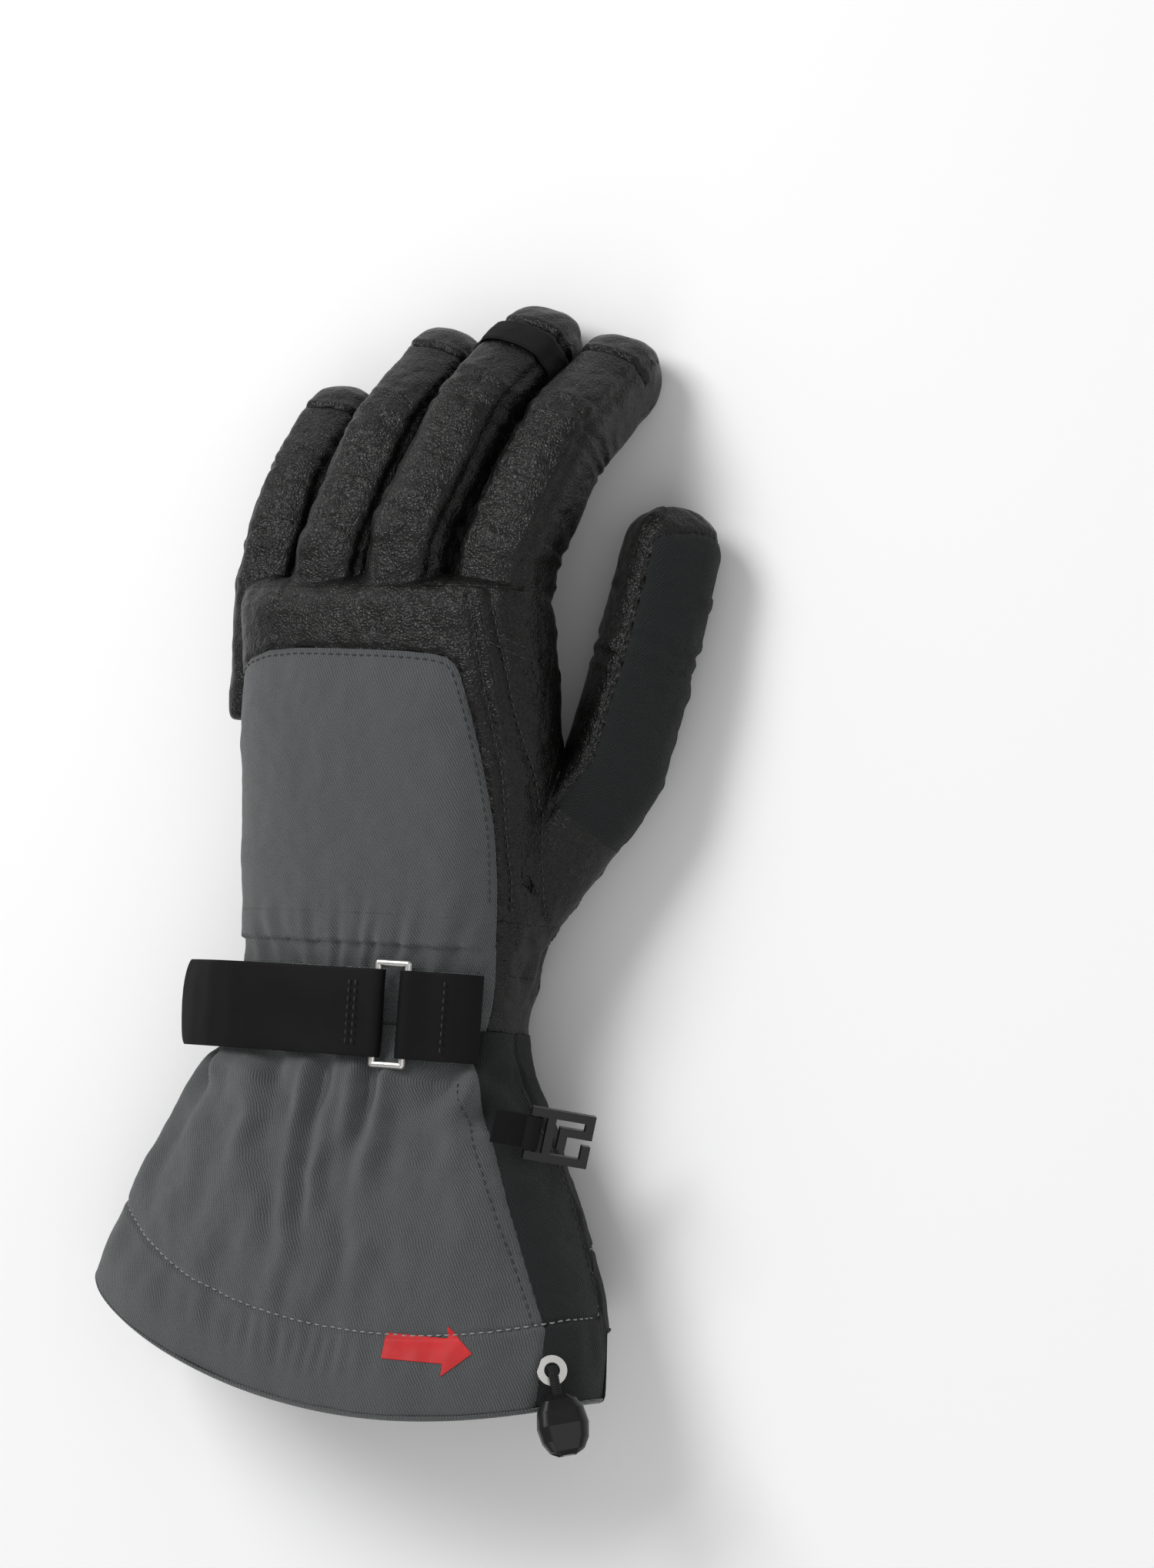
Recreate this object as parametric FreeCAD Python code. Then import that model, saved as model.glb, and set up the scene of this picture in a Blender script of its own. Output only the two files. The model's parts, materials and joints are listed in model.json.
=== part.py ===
"""Left-hand ski gauntlet lying palm down: leather hand and fingers, twill thumb and cuff, wrist strap and hem drawcord.

Millimetres. +X is the thumb side, +Y points to the fingertips, +Z is the back of the hand.
The pieces are drawn with y = 0 under the middle of the wrist strap and z = 0 on the resting surface, and are
then moved so that the origin is the bottom centre of the whole glove's box. Fingers and thumb are chains of stiff
tubes with flexible sleeves between them, one hinge in the middle of each sleeve.
"""

import FreeCAD
import Part

import math
import os

from FreeCAD import Vector

# ---- layers of the wall, from outside to inside ----
SHELL = 1.2  # leather or twill
LAYER_GAP = 0.25  # between one layer and the next
LINER = 2.8  # wadding quilted to its fleece lining
LINER_OUT = SHELL + LAYER_GAP
WALL = LINER_OUT + LINER
PATCH = 0.6  # a thin piece sewn or printed on the shell

# ---- hand: stations along Y as (y, centre x, centre z, half width, half height, corner radius, roll in degrees) ----
HAND_START, HAND_END = 28.0, 119.0
HAND = [
    (HAND_START, 4.5, 28.5, 46.0, 23.5, 19.0, 0.0),
    (60.0, 6.4, 33.8, 48.5, 24.5, 20.0, 3.0),
    (92.0, 5.6, 39.4, 50.0, 23.5, 19.5, 5.5),
    (HAND_END, 3.6, 43.0, 50.5, 21.0, 18.0, 7.0),
]

# ---- wrist and cuff stations, same columns ----
CUFF_TOP = -14.0
WRIST_FLEX = 13.0  # the flexible gathers run from here to the hand
WRIST_HINGE = Vector(0.0, 20.5, 27.0)
WRIST = [
    (CUFF_TOP + 0.3, -1.0, 24.4, 46.5, 22.6, 18.5),
    (0.0, -0.5, 24.4, 44.0, 22.0, 18.0),
    (WRIST_FLEX, 2.0, 25.4, 44.5, 22.5, 18.5),
    (HAND_START - 0.3, 4.5, 28.4, 46.0, 23.4, 19.0),
]
CUFF = [
    (CUFF_TOP, -1.0, 25.0, 48.0, 25.0, 20.0),
    (-50.0, -1.0, 28.5, 67.5, 28.5, 24.0),
    (-84.0, -1.0, 31.5, 79.5, 31.5, 27.0),
    (-114.0, -1.0, 32.5, 84.0, 32.5, 28.0),
]
SEAM_Z = 27.0  # side seams between the back and the palm side
SEAM_GAP = 0.3  # clearance between panels that meet
REST_Z = 0.06  # the flat underside of the palm panel, worn level
HEM_PALM_Y = -84.0  # straight edge on the palm side
HEM_LOW = (24.0, -111.0)  # lowest point of the back's edge, which bows out, as (x, y)
HEM_BOW_R = 187.0
HEM_DEPTH = 22.0  # from the edge to the hem's stitching
FACING_INSET, FACING = 5.3, 0.9  # the hem's inner ply, past the drawcord
GUSSET_X = ((-12.0, 39.0), (-84.0, 71.5))  # seam between the back and the thumb-side gusset, as (y, x)

# ---- fingers: knuckle hinge, heading towards the thumb, lengths to the middle hinge and on to the tip ----
FINGERS = {
    "index": {"knuckle": (41.0, 133, 46.6), "heading": 14, "lengths": (37, 43), "half": (13.0, 13.4), "pitch": (-18, -46)},
    "middle": {"knuckle": (13.2, 137, 49.3), "heading": 15, "lengths": (41, 45), "half": (12.7, 13.4), "pitch": (-18, -46)},
    "ring": {"knuckle": (-13.4, 133, 44.5), "heading": 12, "lengths": (38, 43), "half": (12.2, 13.0), "pitch": (-16, -43)},
    "little": {"knuckle": (-40.2, 125, 34.2), "heading": 6, "lengths": (31, 37), "half": (11.2, 12.0), "pitch": (-12, -38)},
}
PITCH_HAND = 8.0  # slope of the hand's end
FLEX_HALF = 7.5  # from a hinge to the stiff tube on each side of it
FLEX_TILT = math.tan(math.radians(18))  # the tubes are cut back on the palm side, to let the finger curl
TIP_SEAM = 15.0  # from a fingertip to the seam of its cap
BAND = (22.5, 10.0)  # pull band on the middle finger: distance from the tip and width

# ---- thumb ----
THUMB = {"knuckle": (65.5, 72.0, 20.6), "lengths": (36, 43), "half": (14.2, 13.4)}
THUMB_HEADINGS, THUMB_PITCHES = (12.0, 8.0), (-3.0, -6.0)
THUMB_BASE = Vector(38.0, 40.0, 27.0)
THUMB_OPPOSE = Vector(-0.75, 0.0, -0.66)  # way the tip moves as the thumb closes on the palm
THUMB_SHELL_START = 20.0  # the base sleeve reaches further here, round the ball of the thumb

# ---- wrist strap ----
STRAP_W, STRAP_T = 25.0, 1.4
RING_WIRE, RING_LEN, RING_SPAN = 1.1, 31.0, 9.0  # wire radius, outside length, distance between the bars
RING_X, RING_Z = 12.0, 52.2
STRAP_GAP, STRAP_END_Z = 0.3, 12.0  # from the wrist, and where the lower strap is sewn down

# ---- hem drawcord ----
CORD_R = 1.3
TOGGLE_HALF = (7.2, 8.2, 4.2)
PULLS = {
    "close": {"eyelet": Vector(75.0, -95.0, 52.6), "aim": Vector(0.3, -0.94, 0.06), "normal": Vector(0.55, 0, 0.83)},
    "open": {"eyelet": Vector(-76.4, -66.0, 16.8), "aim": Vector(-0.42, -0.9, -0.05), "normal": Vector(-0.9, 0, -0.3)},
}
EYELET_R = 4.2
CORD_SHOWN = 7.0
CORD_LIFT = 2.9  # from the eyelet to the middle of the cord

# ---- glove clip on the gusset ----
CLIP_BAR = Vector(60.4, -30.3, 45.4)
CLIP_OUT = Vector(0.80, -0.10, -0.59)  # way the hook lies from its bar
CLIP_W, CLIP_LEN, CLIP_T = 15.0, 17.0, 2.6


def unit(v):
    return v / v.Length


def direction(heading, pitch):
    """Way forward, for an angle from +Y towards +X and an angle above the horizontal, in degrees."""
    h, p = math.radians(heading), math.radians(pitch)
    return Vector(math.sin(h) * math.cos(p), math.cos(h) * math.cos(p), math.sin(p))


def outline(centre, right, up, half_w, half_h, corner):
    """Rounded rectangle as a closed wire, in the plane of right and up."""
    a, b = half_w - corner, half_h - corner
    cut = corner * (1 - math.sqrt(0.5))

    def at(x, z):
        return centre + right * x + up * z

    corners = [(1, 1), (-1, 1), (-1, -1), (1, -1)]
    edges = []
    for n, (sx, sz) in enumerate(corners):
        flat_end, side_end = at(sx * a, sz * half_h), at(sx * half_w, sz * b)
        middle = at(sx * (half_w - cut), sz * (half_h - cut))
        first, last = (side_end, flat_end) if n % 2 == 0 else (flat_end, side_end)
        edges.append(Part.Arc(first, middle, last).toShape())
        nx, nz = corners[(n + 1) % 4]
        follow = at(nx * a, nz * half_h) if n % 2 == 0 else at(nx * half_w, nz * b)
        edges.append(Part.LineSegment(last, follow).toShape())
    return Part.Wire(edges)


class Station:
    """One cross-section of a tube: its centre, its axes and its outside half sizes."""

    def __init__(self, centre, along, up, half_w, half_h, corner, lean=0.0):
        self.centre, self.along = centre, unit(along)
        self.right = unit(self.along.cross(up))
        self.up = unit(self.right.cross(self.along)) + self.along * lean
        self.half_w, self.half_h, self.corner = half_w, half_h, corner

    def wire(self, inset=0.0, push=0.0):
        w, h = self.half_w - inset, self.half_h - inset
        corner = min(max(self.corner - inset, 0.8), w - 0.4, h - 0.4)
        return outline(self.centre + self.along * push, self.right, self.up, w, h, corner)


def row_stations(rows):
    """Stations in planes across Y, from (y, x, z, half width, half height, corner, optional roll) rows."""
    along = Vector(0, 1 if rows[-1][0] > rows[0][0] else -1, 0)
    found = []
    for y, x, z, w, h, r, *roll in rows:
        turn = math.radians(roll[0]) if roll else 0.0
        found.append(Station(Vector(x, y, z), along, Vector(-math.sin(turn), 0, math.cos(turn)), w, h, r))
    return found


def body_of(stations, inset=0.0, reach=(0.0, 0.0)):
    """Solid tube through the stations, pushed past its first and last ones by reach."""
    pushes = [-reach[0]] + [0.0] * (len(stations) - 2) + [reach[1]]
    return Part.makeLoft([s.wire(inset, p) for s, p in zip(stations, pushes)], True, True)


def tube(stations, outer=0.0, inner=SHELL):
    """Tube wall that is open at both ends."""
    return body_of(stations, outer).cut(body_of(stations, inner, (1.0, 1.0)))


def block(x0, x1, y0, y1, z0, z1):
    return Part.makeBox(x1 - x0, y1 - y0, z1 - z0, Vector(x0, y0, z0))


def prism(points, z0, z1):
    """Upright prism over a polygon of (x, y) points."""
    corners = [Vector(x, y, z0) for x, y in points]
    return Part.Face(Part.makePolygon(corners + corners[:1])).extrude(Vector(0, 0, z1 - z0))


def ribbon(points, thickness, y0, y1):
    """Strap of even thickness along an XZ route, as wide as y0 to y1. Its corners are rounded by small chords."""
    upper, lower = [], []
    for n, (x, z) in enumerate(points):
        ax, az = points[max(n - 1, 0)]
        bx, bz = points[min(n + 1, len(points) - 1)]
        long = math.hypot(bx - ax, bz - az)
        nx, nz = -(bz - az) / long, (bx - ax) / long
        upper.append(Vector(x + nx * thickness / 2, y0, z + nz * thickness / 2))
        lower.append(Vector(x - nx * thickness / 2, y0, z - nz * thickness / 2))
    loop = upper + lower[::-1]
    return Part.Face(Part.makePolygon(loop + loop[:1])).extrude(Vector(0, y1 - y0, 0))


# ---------------------------------------------------------------- fingers and thumb


def finger_frame(name):
    """Points and ways of a finger: hinges, tip, and the directions of the hand, the near and the far length."""
    f = FINGERS[name]
    knuckle = Vector(*f["knuckle"])
    near, far = (direction(f["heading"], pitch) for pitch in f["pitch"])
    middle = knuckle + near * f["lengths"][0]
    tip = middle + far * f["lengths"][1]
    h = math.radians(f["heading"])
    axis = Vector(-math.cos(h), math.sin(h), 0)
    return {"knuckle": knuckle, "middle": middle, "tip": tip, "near": near, "far": far, "axis": axis}


def thumb_frame():
    near = direction(THUMB_HEADINGS[0], THUMB_PITCHES[0])
    far = direction(THUMB_HEADINGS[1], THUMB_PITCHES[1])
    knuckle = Vector(*THUMB["knuckle"])
    middle = knuckle + near * THUMB["lengths"][0]
    tip = middle + far * THUMB["lengths"][1]
    axis = unit(near.cross(unit(THUMB_OPPOSE)))
    return {"knuckle": knuckle, "middle": middle, "tip": tip, "near": near, "far": far, "axis": axis}


def tip_stations(middle, tip, along, up, half_w, half_h, inset=0.0):
    """Stations of a fingertip that closes as a dome, pulled in by inset."""
    dome = min(half_w, half_h) * 0.95
    centre = tip - along * dome
    found = []
    for turn in (0, 22, 42, 60, 76):
        a = math.radians(turn)
        shrink = 1 - (1 - math.cos(a)) * 0.93
        forward = (dome - inset) * math.sin(a) / math.sin(math.radians(76))
        w, h = (half_w - inset) * shrink, (half_h - inset) * shrink
        found.append(Station(centre + along * forward, along, up, w, h, 0.82 * min(w, h)))
    return found


def digit(frame, up_near, up_far, half, near_start):
    """Stations of a finger or thumb: near tube, middle sleeve and far length with its closed tip."""
    half_w, half_h = half
    taper = 0.96
    corner = 0.78 * min(half)
    near = [
        Station(frame["knuckle"] + frame["near"] * near_start, frame["near"], up_near, half_w, half_h, corner, -FLEX_TILT),
        Station(frame["middle"] - frame["near"] * FLEX_HALF, frame["near"], up_near, half_w, half_h, corner, FLEX_TILT),
    ]
    w, h = half_w * taper, half_h * taper
    start = Station(frame["middle"] + frame["far"] * FLEX_HALF, frame["far"], up_far, w, h, corner * taper, -FLEX_TILT)
    between = unit(frame["near"] + frame["far"])
    at_hinge = Station(frame["middle"], between, up_near + up_far, half_w * 0.98, half_h * 0.98, corner)
    sleeve = [near[1], at_hinge, start]
    return near, sleeve, start, (w, h)


def closed_tube(start, tips, inner_tips, outer=0.0, inner=SHELL):
    """Thimble: open at its start and closed by the dome of the tip."""
    solid = Part.makeLoft([start.wire(outer)] + [s.wire(outer) for s in tips], True, True)
    hollow = Part.makeLoft([start.wire(inner, -1.0)] + [s.wire() for s in inner_tips], True, True)
    return solid.cut(hollow)


def gap_trim(stations, push_first, push_last):
    """The same stations, with the ends drawn in so that a sleeve doesn't touch its neighbours."""
    first, last = stations[0], stations[-1]
    ends = []
    for s, push in ((first, push_first), (last, push_last)):
        moved = Station.__new__(Station)
        moved.__dict__.update(s.__dict__)
        moved.centre = s.centre + s.along * push
        ends.append(moved)
    return [ends[0]] + stations[1:-1] + [ends[1]]


def knuckle_stations(name, frame, near_start):
    """Sleeve from the end of the hand to the finger's near tube."""
    half_w, half_h = FINGERS[name]["half"]
    heading = FINGERS[name]["heading"]
    back = (frame["knuckle"].y - HAND_END - SEAM_GAP) / math.cos(math.radians(heading))
    x = frame["knuckle"].x - back * math.sin(math.radians(heading))
    z = HAND[-1][2] + (frame["knuckle"].z - HAND[-1][2]) * 0.5
    root = Station(Vector(x, HAND_END + SEAM_GAP, z), Vector(0, 1, 0), Vector(0, 0, 1), half_w - 0.2, 18.5 - 0.1 * abs(x), 8.5)
    between = unit(direction(heading, PITCH_HAND) + frame["near"])
    bend = Station(frame["knuckle"], between, Vector(0, 0, 1), half_w, half_h * 1.08, 0.72 * half_h)
    return [root, bend, near_start]


def build_finger(name):
    """The pieces of one finger, by node name."""
    frame = finger_frame(name)
    up = Vector(0, 0, 1)
    near, sleeve, far_start, far_half = digit(frame, up, up, FINGERS[name]["half"], FLEX_HALF)
    tips = tip_stations(frame["middle"], frame["tip"], frame["far"], up, *far_half)
    inner_tips = tip_stations(frame["middle"], frame["tip"], frame["far"], up, *far_half, SHELL)
    knuckle = gap_trim(knuckle_stations(name, frame, near[0]), 0.0, -SEAM_GAP)
    thimble = closed_tube(far_start, tips, inner_tips)
    cap_side = cutter_beyond(frame["tip"] - frame["far"] * TIP_SEAM, frame["far"])
    cap_clear = cutter_beyond(frame["tip"] - frame["far"] * (TIP_SEAM + SEAM_GAP), frame["far"])
    liner_tips = tip_stations(frame["middle"], frame["tip"], frame["far"], up, *far_half, LINER_OUT)
    bare_tips = tip_stations(frame["middle"], frame["tip"], frame["far"], up, *far_half, WALL)
    knuckle_sleeve = tube(knuckle)
    route = knuckle[:2] + near + [sleeve[1], far_start]
    liner = Part.makeLoft([s.wire(LINER_OUT) for s in route] + [s.wire() for s in liner_tips], True, True)
    bare = Part.makeLoft([route[0].wire(WALL, -1.0)] + [s.wire(WALL) for s in route[1:]] + [s.wire() for s in bare_tips], True, True)
    return {
        f"{name}_knuckle_sleeve": knuckle_sleeve,
        f"{name}_near_shell": tube(near),
        f"{name}_middle_sleeve": tube(gap_trim(sleeve, SEAM_GAP, -SEAM_GAP)),
        f"{name}_far_shell": thimble.cut(cap_clear),
        f"{name}_tip_cap": thimble.common(cap_side),
        f"{name}_liner": liner.cut(bare).cut(knuckle_sleeve),
    }


def cutter_beyond(point, along, size=60.0):
    """A block that fills the space past a plane."""
    side = unit(along.cross(Vector(0, 0, 1)))
    lift = unit(side.cross(along))
    corners = [point + side * (a * size) + lift * (b * size) for a, b in ((-1, -1), (1, -1), (1, 1), (-1, 1))]
    return Part.Face(Part.makePolygon(corners + corners[:1])).extrude(along * size)


def build_band():
    """Ribbed band round the back of the middle fingertip, held in its side seams."""
    frame = finger_frame("middle")
    half_w, half_h = (h * 0.96 for h in FINGERS["middle"]["half"])
    ends = [frame["tip"] - frame["far"] * (BAND[0] + BAND[1] * n) for n in (1, 0)]
    up = Vector(0, 0, 1)
    ring = [Station(c, frame["far"], up, half_w, half_h, 0.75 * half_h) for c in ends]
    wall = body_of(ring, -0.25 - PATCH).cut(body_of(ring, -0.25, (1.0, 1.0)))
    lift = unit(frame["far"].cross(frame["axis"]))
    lift = lift if lift.z > 0 else lift * -1
    return wall.common(cutter_beyond(frame["middle"] + lift * 2.0, lift))


def thumb_ups():
    frame = thumb_frame()
    away = unit(THUMB_OPPOSE) * -1
    return frame, away, away


def thumb_base_stations(near_start):
    """Round sleeve from inside the hand, over the ball of the thumb, to its near tube."""
    frame, up, _ = thumb_ups()
    half_w, half_h = THUMB["half"]
    first = unit(frame["knuckle"] - THUMB_BASE)
    ways = (first, unit(first + frame["near"]))
    centres = (THUMB_BASE, frame["knuckle"])
    sizes = ((15.0, 15.0), (half_w * 1.05, half_h * 1.05))
    found = [Station(c, a, up, w, h, 0.8 * h) for c, a, (w, h) in zip(centres, ways, sizes)]
    return found + [near_start]


def build_thumb():
    """The pieces of the thumb, by node name, and the solid that its base takes out of the hand."""
    frame, up_near, up_far = thumb_ups()
    near, sleeve, far_start, far_half = digit(frame, up_near, up_far, THUMB["half"], THUMB_SHELL_START)
    tips = tip_stations(frame["middle"], frame["tip"], frame["far"], up_far, *far_half)
    inner_tips = tip_stations(frame["middle"], frame["tip"], frame["far"], up_far, *far_half, SHELL)
    base = gap_trim(thumb_base_stations(near[0]), 0.0, -SEAM_GAP)
    palm_side = cutter_beyond(frame["middle"], up_near * -1, 90.0)
    palm_clear = cutter_beyond(frame["middle"] + up_near * SEAM_GAP, up_near * -1, 90.0)
    near_tube, thimble = tube(near), closed_tube(far_start, tips, inner_tips)
    liner_tips = tip_stations(frame["middle"], frame["tip"], frame["far"], up_far, *far_half, LINER_OUT)
    bare_tips = tip_stations(frame["middle"], frame["tip"], frame["far"], up_far, *far_half, WALL)
    route = near + [sleeve[1], far_start]
    liner = Part.makeLoft([s.wire(LINER_OUT) for s in route] + [s.wire() for s in liner_tips], True, True)
    bare = Part.makeLoft([route[0].wire(WALL, -1.0)] + [s.wire(WALL) for s in route[1:]] + [s.wire() for s in bare_tips], True, True)
    inside_hand = body_of(row_stations(HAND), WALL, (1.0, 1.0))
    pieces = {
        "thumb_base_sleeve": tube(base).cut(inside_hand),
        "thumb_near_back": near_tube.cut(palm_clear),
        "thumb_near_palm": near_tube.common(palm_side),
        "thumb_middle_sleeve": tube(gap_trim(sleeve, SEAM_GAP, -SEAM_GAP)),
        "thumb_far_back": thimble.cut(palm_clear),
        "thumb_far_palm": thimble.common(palm_side),
        "thumb_liner": liner.cut(bare),
    }
    return pieces, body_of(base, -0.35)


# ---------------------------------------------------------------- hand


def back_panel_outline(grow=0.0):
    """Edge of the twill panel on the back of the hand, as (x, y) points, with its cut-off corner."""
    return [
        (-47 - grow, HAND_START - 10),
        (-47 - grow, 96),
        (-36 - grow, 105 + grow),
        (35 + grow, 106 + grow),
        (47 + grow, 64),
        (46 + grow, HAND_START - 10),
    ]


def build_hand(thumb_hole):
    stations = row_stations(HAND)
    wall = tube(stations).cut(thumb_hole)
    back = wall.common(block(-60, 70, HAND_START - 1, HAND_END + 1, SEAM_Z + 8, 90))
    side_cut = prism([(49, HAND_START - 1), (50.5, HAND_END + 1), (70, HAND_END + 1), (70, HAND_START - 1)], 0, 90)
    side_clear = prism([(48.7, HAND_START - 1), (50.2, HAND_END + 1), (70, HAND_END + 1), (70, HAND_START - 1)], 0, 90)
    upper = back.cut(side_clear)
    twill = prism(back_panel_outline(), 30, 90)
    twill_clear = prism(back_panel_outline(SEAM_GAP), 30, 90)
    palm_top = SEAM_Z + 8 - SEAM_GAP
    palm = wall.common(block(-60, 70, HAND_START - 1, HAND_END + 1, -1, palm_top)).cut(side_clear)
    side = wall.common(side_cut)
    liner = tube(stations, LINER_OUT, WALL).cut(thumb_hole)
    under = body_of(stations, -0.25 - PATCH).cut(body_of(stations, -0.25, (1.0, 1.0))).cut(thumb_hole)
    patch = under.common(prism([(-30, 72), (30, 72), (38, 112), (-34, 112)], -1, 30))
    return {
        "hand_back_leather": upper.cut(twill_clear),
        "hand_back_panel": upper.common(twill),
        "thumb_side_panel": side,
        "palm_leather": palm,
        "palm_patch": patch,
        "hand_liner": liner,
    }


# ---------------------------------------------------------------- wrist and cuff


def hem_cylinder(extra=0.0):
    """Upright cylinder whose edge is the bowed hem of the back."""
    return Part.makeCylinder(HEM_BOW_R + extra, 90, Vector(HEM_LOW[0], HEM_LOW[1] + HEM_BOW_R, -5))


def gusset_cutter(shift):
    (y0, x0), (y1, x1) = GUSSET_X
    slope = (x1 - x0) / (y1 - y0)
    top, low = 0.0, -130.0
    points = [(x0 + slope * (y - y0) + shift, y) for y in (top, low)]
    return prism([points[0], points[1], (140, low), (140, top)], SEAM_Z, 90)


def build_cuff():
    stations = row_stations(CUFF)
    floor = block(-150, 150, -150, 20, 0, 100)
    wall = tube(stations).common(floor)
    upper = wall.common(block(-150, 150, -150, 20, SEAM_Z, 100)).common(hem_cylinder())
    palm_block = block(-150, 150, HEM_PALM_Y, 20, REST_Z, SEAM_Z - SEAM_GAP)
    liner_room = (block(-150, 150, HEM_PALM_Y + HEM_DEPTH, 20, -5, SEAM_Z)).fuse(
        block(-150, 150, -150, 20, SEAM_Z, 100).common(hem_cylinder(-HEM_DEPTH))
    )
    facing_room = (block(-150, 150, HEM_PALM_Y, 20, -5, SEAM_Z)).fuse(
        block(-150, 150, -150, 20, SEAM_Z, 100).common(hem_cylinder())
    )
    facing_wall = tube(stations, FACING_INSET, FACING_INSET + FACING)
    channel = build_hem_cord(CORD_R + 0.3)
    clear_room = (block(-150, 150, HEM_PALM_Y + HEM_DEPTH - SEAM_GAP, 20, -5, SEAM_Z)).fuse(
        block(-150, 150, -150, 20, SEAM_Z, 100).common(hem_cylinder(SEAM_GAP - HEM_DEPTH))
    )
    return {
        "cuff_back_panel": upper.cut(gusset_cutter(-SEAM_GAP)),
        "cuff_gusset": upper.common(gusset_cutter(0.0)),
        "cuff_palm_panel": wall.common(palm_block),
        "cuff_liner": tube(stations, LINER_OUT, WALL).common(liner_room).cut(channel),
        "hem_facing": facing_wall.common(facing_room).cut(clear_room).cut(channel),
        "hem_cord": build_hem_cord(),
    }


def hem_point(angle):
    """Point of the drawcord inside the hem, at an angle round the cuff from +X, in degrees."""
    a = math.radians(angle)
    c, s = math.cos(a), math.sin(a)
    inset, power = SHELL + CORD_R + 0.5, 2.9
    bow_x = HEM_LOW[0] - (CUFF[2][1] + c * CUFF[2][3] * 0.97)
    back_y = HEM_LOW[1] + HEM_BOW_R - math.sqrt(HEM_BOW_R**2 - bow_x**2)
    share = min(max((s + 0.25) / 0.6, 0.0), 1.0)
    share = share * share * (3 - 2 * share)
    y = (HEM_PALM_Y * (1 - share) + back_y * share) + HEM_DEPTH / 2
    row_a, row_b = (CUFF[1], CUFF[2]) if y > CUFF[2][0] else (CUFF[2], CUFF[3])
    t = (y - row_a[0]) / (row_b[0] - row_a[0])
    x, z, w, h = (row_a[n] + (row_b[n] - row_a[n]) * t for n in (1, 2, 3, 4))
    w, h = w - inset, h - inset
    scale = (abs(c / w) ** power + abs(s / h) ** power) ** (-1 / power)
    return Vector(x + c * scale, y, z + s * scale)


def build_hem_cord(radius=CORD_R, steps=44):
    """Elastic cord inside the hem. It starts and ends at the cord lock under the gusset."""
    first, last = -28.0, 318.0
    points = [hem_point(first + (last - first) * n / steps) for n in range(steps + 1)]
    route = Part.BSplineCurve()
    route.interpolate(points)
    end = Part.Wire(Part.makeCircle(radius, points[0], route.tangent(route.FirstParameter)[0]))
    return Part.Wire(route.toShape()).makePipeShell([end], True, True)


def build_wrist():
    band = tube(row_stations(WRIST[:3])).common(block(-150, 150, CUFF_TOP, WRIST_FLEX - SEAM_GAP, -5, 80))
    gathers = tube(row_stations(WRIST[2:]))
    elastic = tube(row_stations(WRIST[:3]), LINER_OUT, LINER_OUT + 1.0)
    return {
        "wrist_band_back": band.common(block(-150, 150, -20, 40, SEAM_Z, 80)),
        "wrist_band_palm": band.common(block(-150, 150, -20, 40, -5, SEAM_Z - SEAM_GAP)),
        "wrist_gathers": gathers,
        "wrist_elastic": elastic.common(block(-150, 150, 0, 8, -5, 20)),
    }


# ---------------------------------------------------------------- strap, clip, pulls


def build_strap():
    half = STRAP_W / 2
    bar_a, bar_b = Vector(RING_X, 0, RING_Z), Vector(RING_X + RING_SPAN, 0, RING_Z - 0.9)
    end = RING_LEN / 2 - RING_WIRE
    corners = [bar_a + Vector(0, end, 0), bar_b + Vector(0, end, 0), bar_b - Vector(0, end, 0), bar_a - Vector(0, end, 0)]
    ring = None
    for n, a in enumerate(corners):
        b = corners[(n + 1) % 4]
        side = Part.makeCylinder(RING_WIRE, (b - a).Length, a, b - a).fuse(Part.makeSphere(RING_WIRE, a))
        ring = side if ring is None else ring.fuse(side)
    clear = 0.15
    sleeve_r = RING_WIRE + clear + STRAP_T

    def fold(bar):
        outside = Part.makeCylinder(sleeve_r, STRAP_W, bar - Vector(0, half, 0), Vector(0, 1, 0))
        return outside.cut(Part.makeCylinder(RING_WIRE + clear, STRAP_W + 2, bar - Vector(0, half + 1, 0), Vector(0, 1, 0)))

    lower = tube(row_stations(WRIST[:3]), -STRAP_GAP - STRAP_T, -STRAP_GAP)
    keep = block(-80, RING_X - sleeve_r - 0.3, -half, half, STRAP_END_Z, 80)
    tail_points = [(RING_X - 2.2, RING_Z + 1.0), (-6, 53.0), (-18, 52.6), (-28, 51.6), (-37, 49.2), (-46, 45.0), (-54, 39.8), (-61, 34.2)]
    tail = ribbon(tail_points, STRAP_T, -half, half).fuse(fold(bar_a))
    tail = tail.cut(Part.makeCylinder(RING_WIRE + clear, STRAP_W + 2, bar_a - Vector(0, half + 1, 0), Vector(0, 1, 0)))
    anchor_points = [(RING_X + RING_SPAN + 2.0, RING_Z - 2.0), (28, 49.4), (34, 48.0), (39, 45.2)]
    anchor = ribbon(anchor_points, STRAP_T, -half, half).fuse(fold(bar_b))
    anchor = anchor.cut(Part.makeCylinder(RING_WIRE + clear, STRAP_W + 2, bar_b - Vector(0, half + 1, 0), Vector(0, 1, 0)))
    return {
        "strap_ring": ring,
        "strap_lower": lower.common(keep),
        "strap_tail": tail.removeSplitter(),
        "strap_anchor": anchor.removeSplitter(),
    }


def clip_axes():
    """Ways of the clip: along its bar, out to its hook, and away from the cuff."""
    out = unit(CLIP_OUT)
    bar = unit(Vector(0.32, 0.95, 0.0) - out * Vector(0.32, 0.95, 0.0).dot(out))
    face = unit(bar.cross(out))
    return bar, out, face if face.z > 0 else face * -1


def clip_plate(bar, out, face, a0, a1, b0, b1, lift=0.0, thickness=CLIP_T):
    """Plate of the clip from a0 to a1 along the bar and from b0 to b1 outwards."""
    base = CLIP_BAR + face * (lift - thickness / 2)
    corners = [base + bar * a + out * b for a, b in ((a0, b0), (a1, b0), (a1, b1), (a0, b1))]
    return Part.Face(Part.makePolygon(corners + corners[:1])).extrude(face * thickness)


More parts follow.
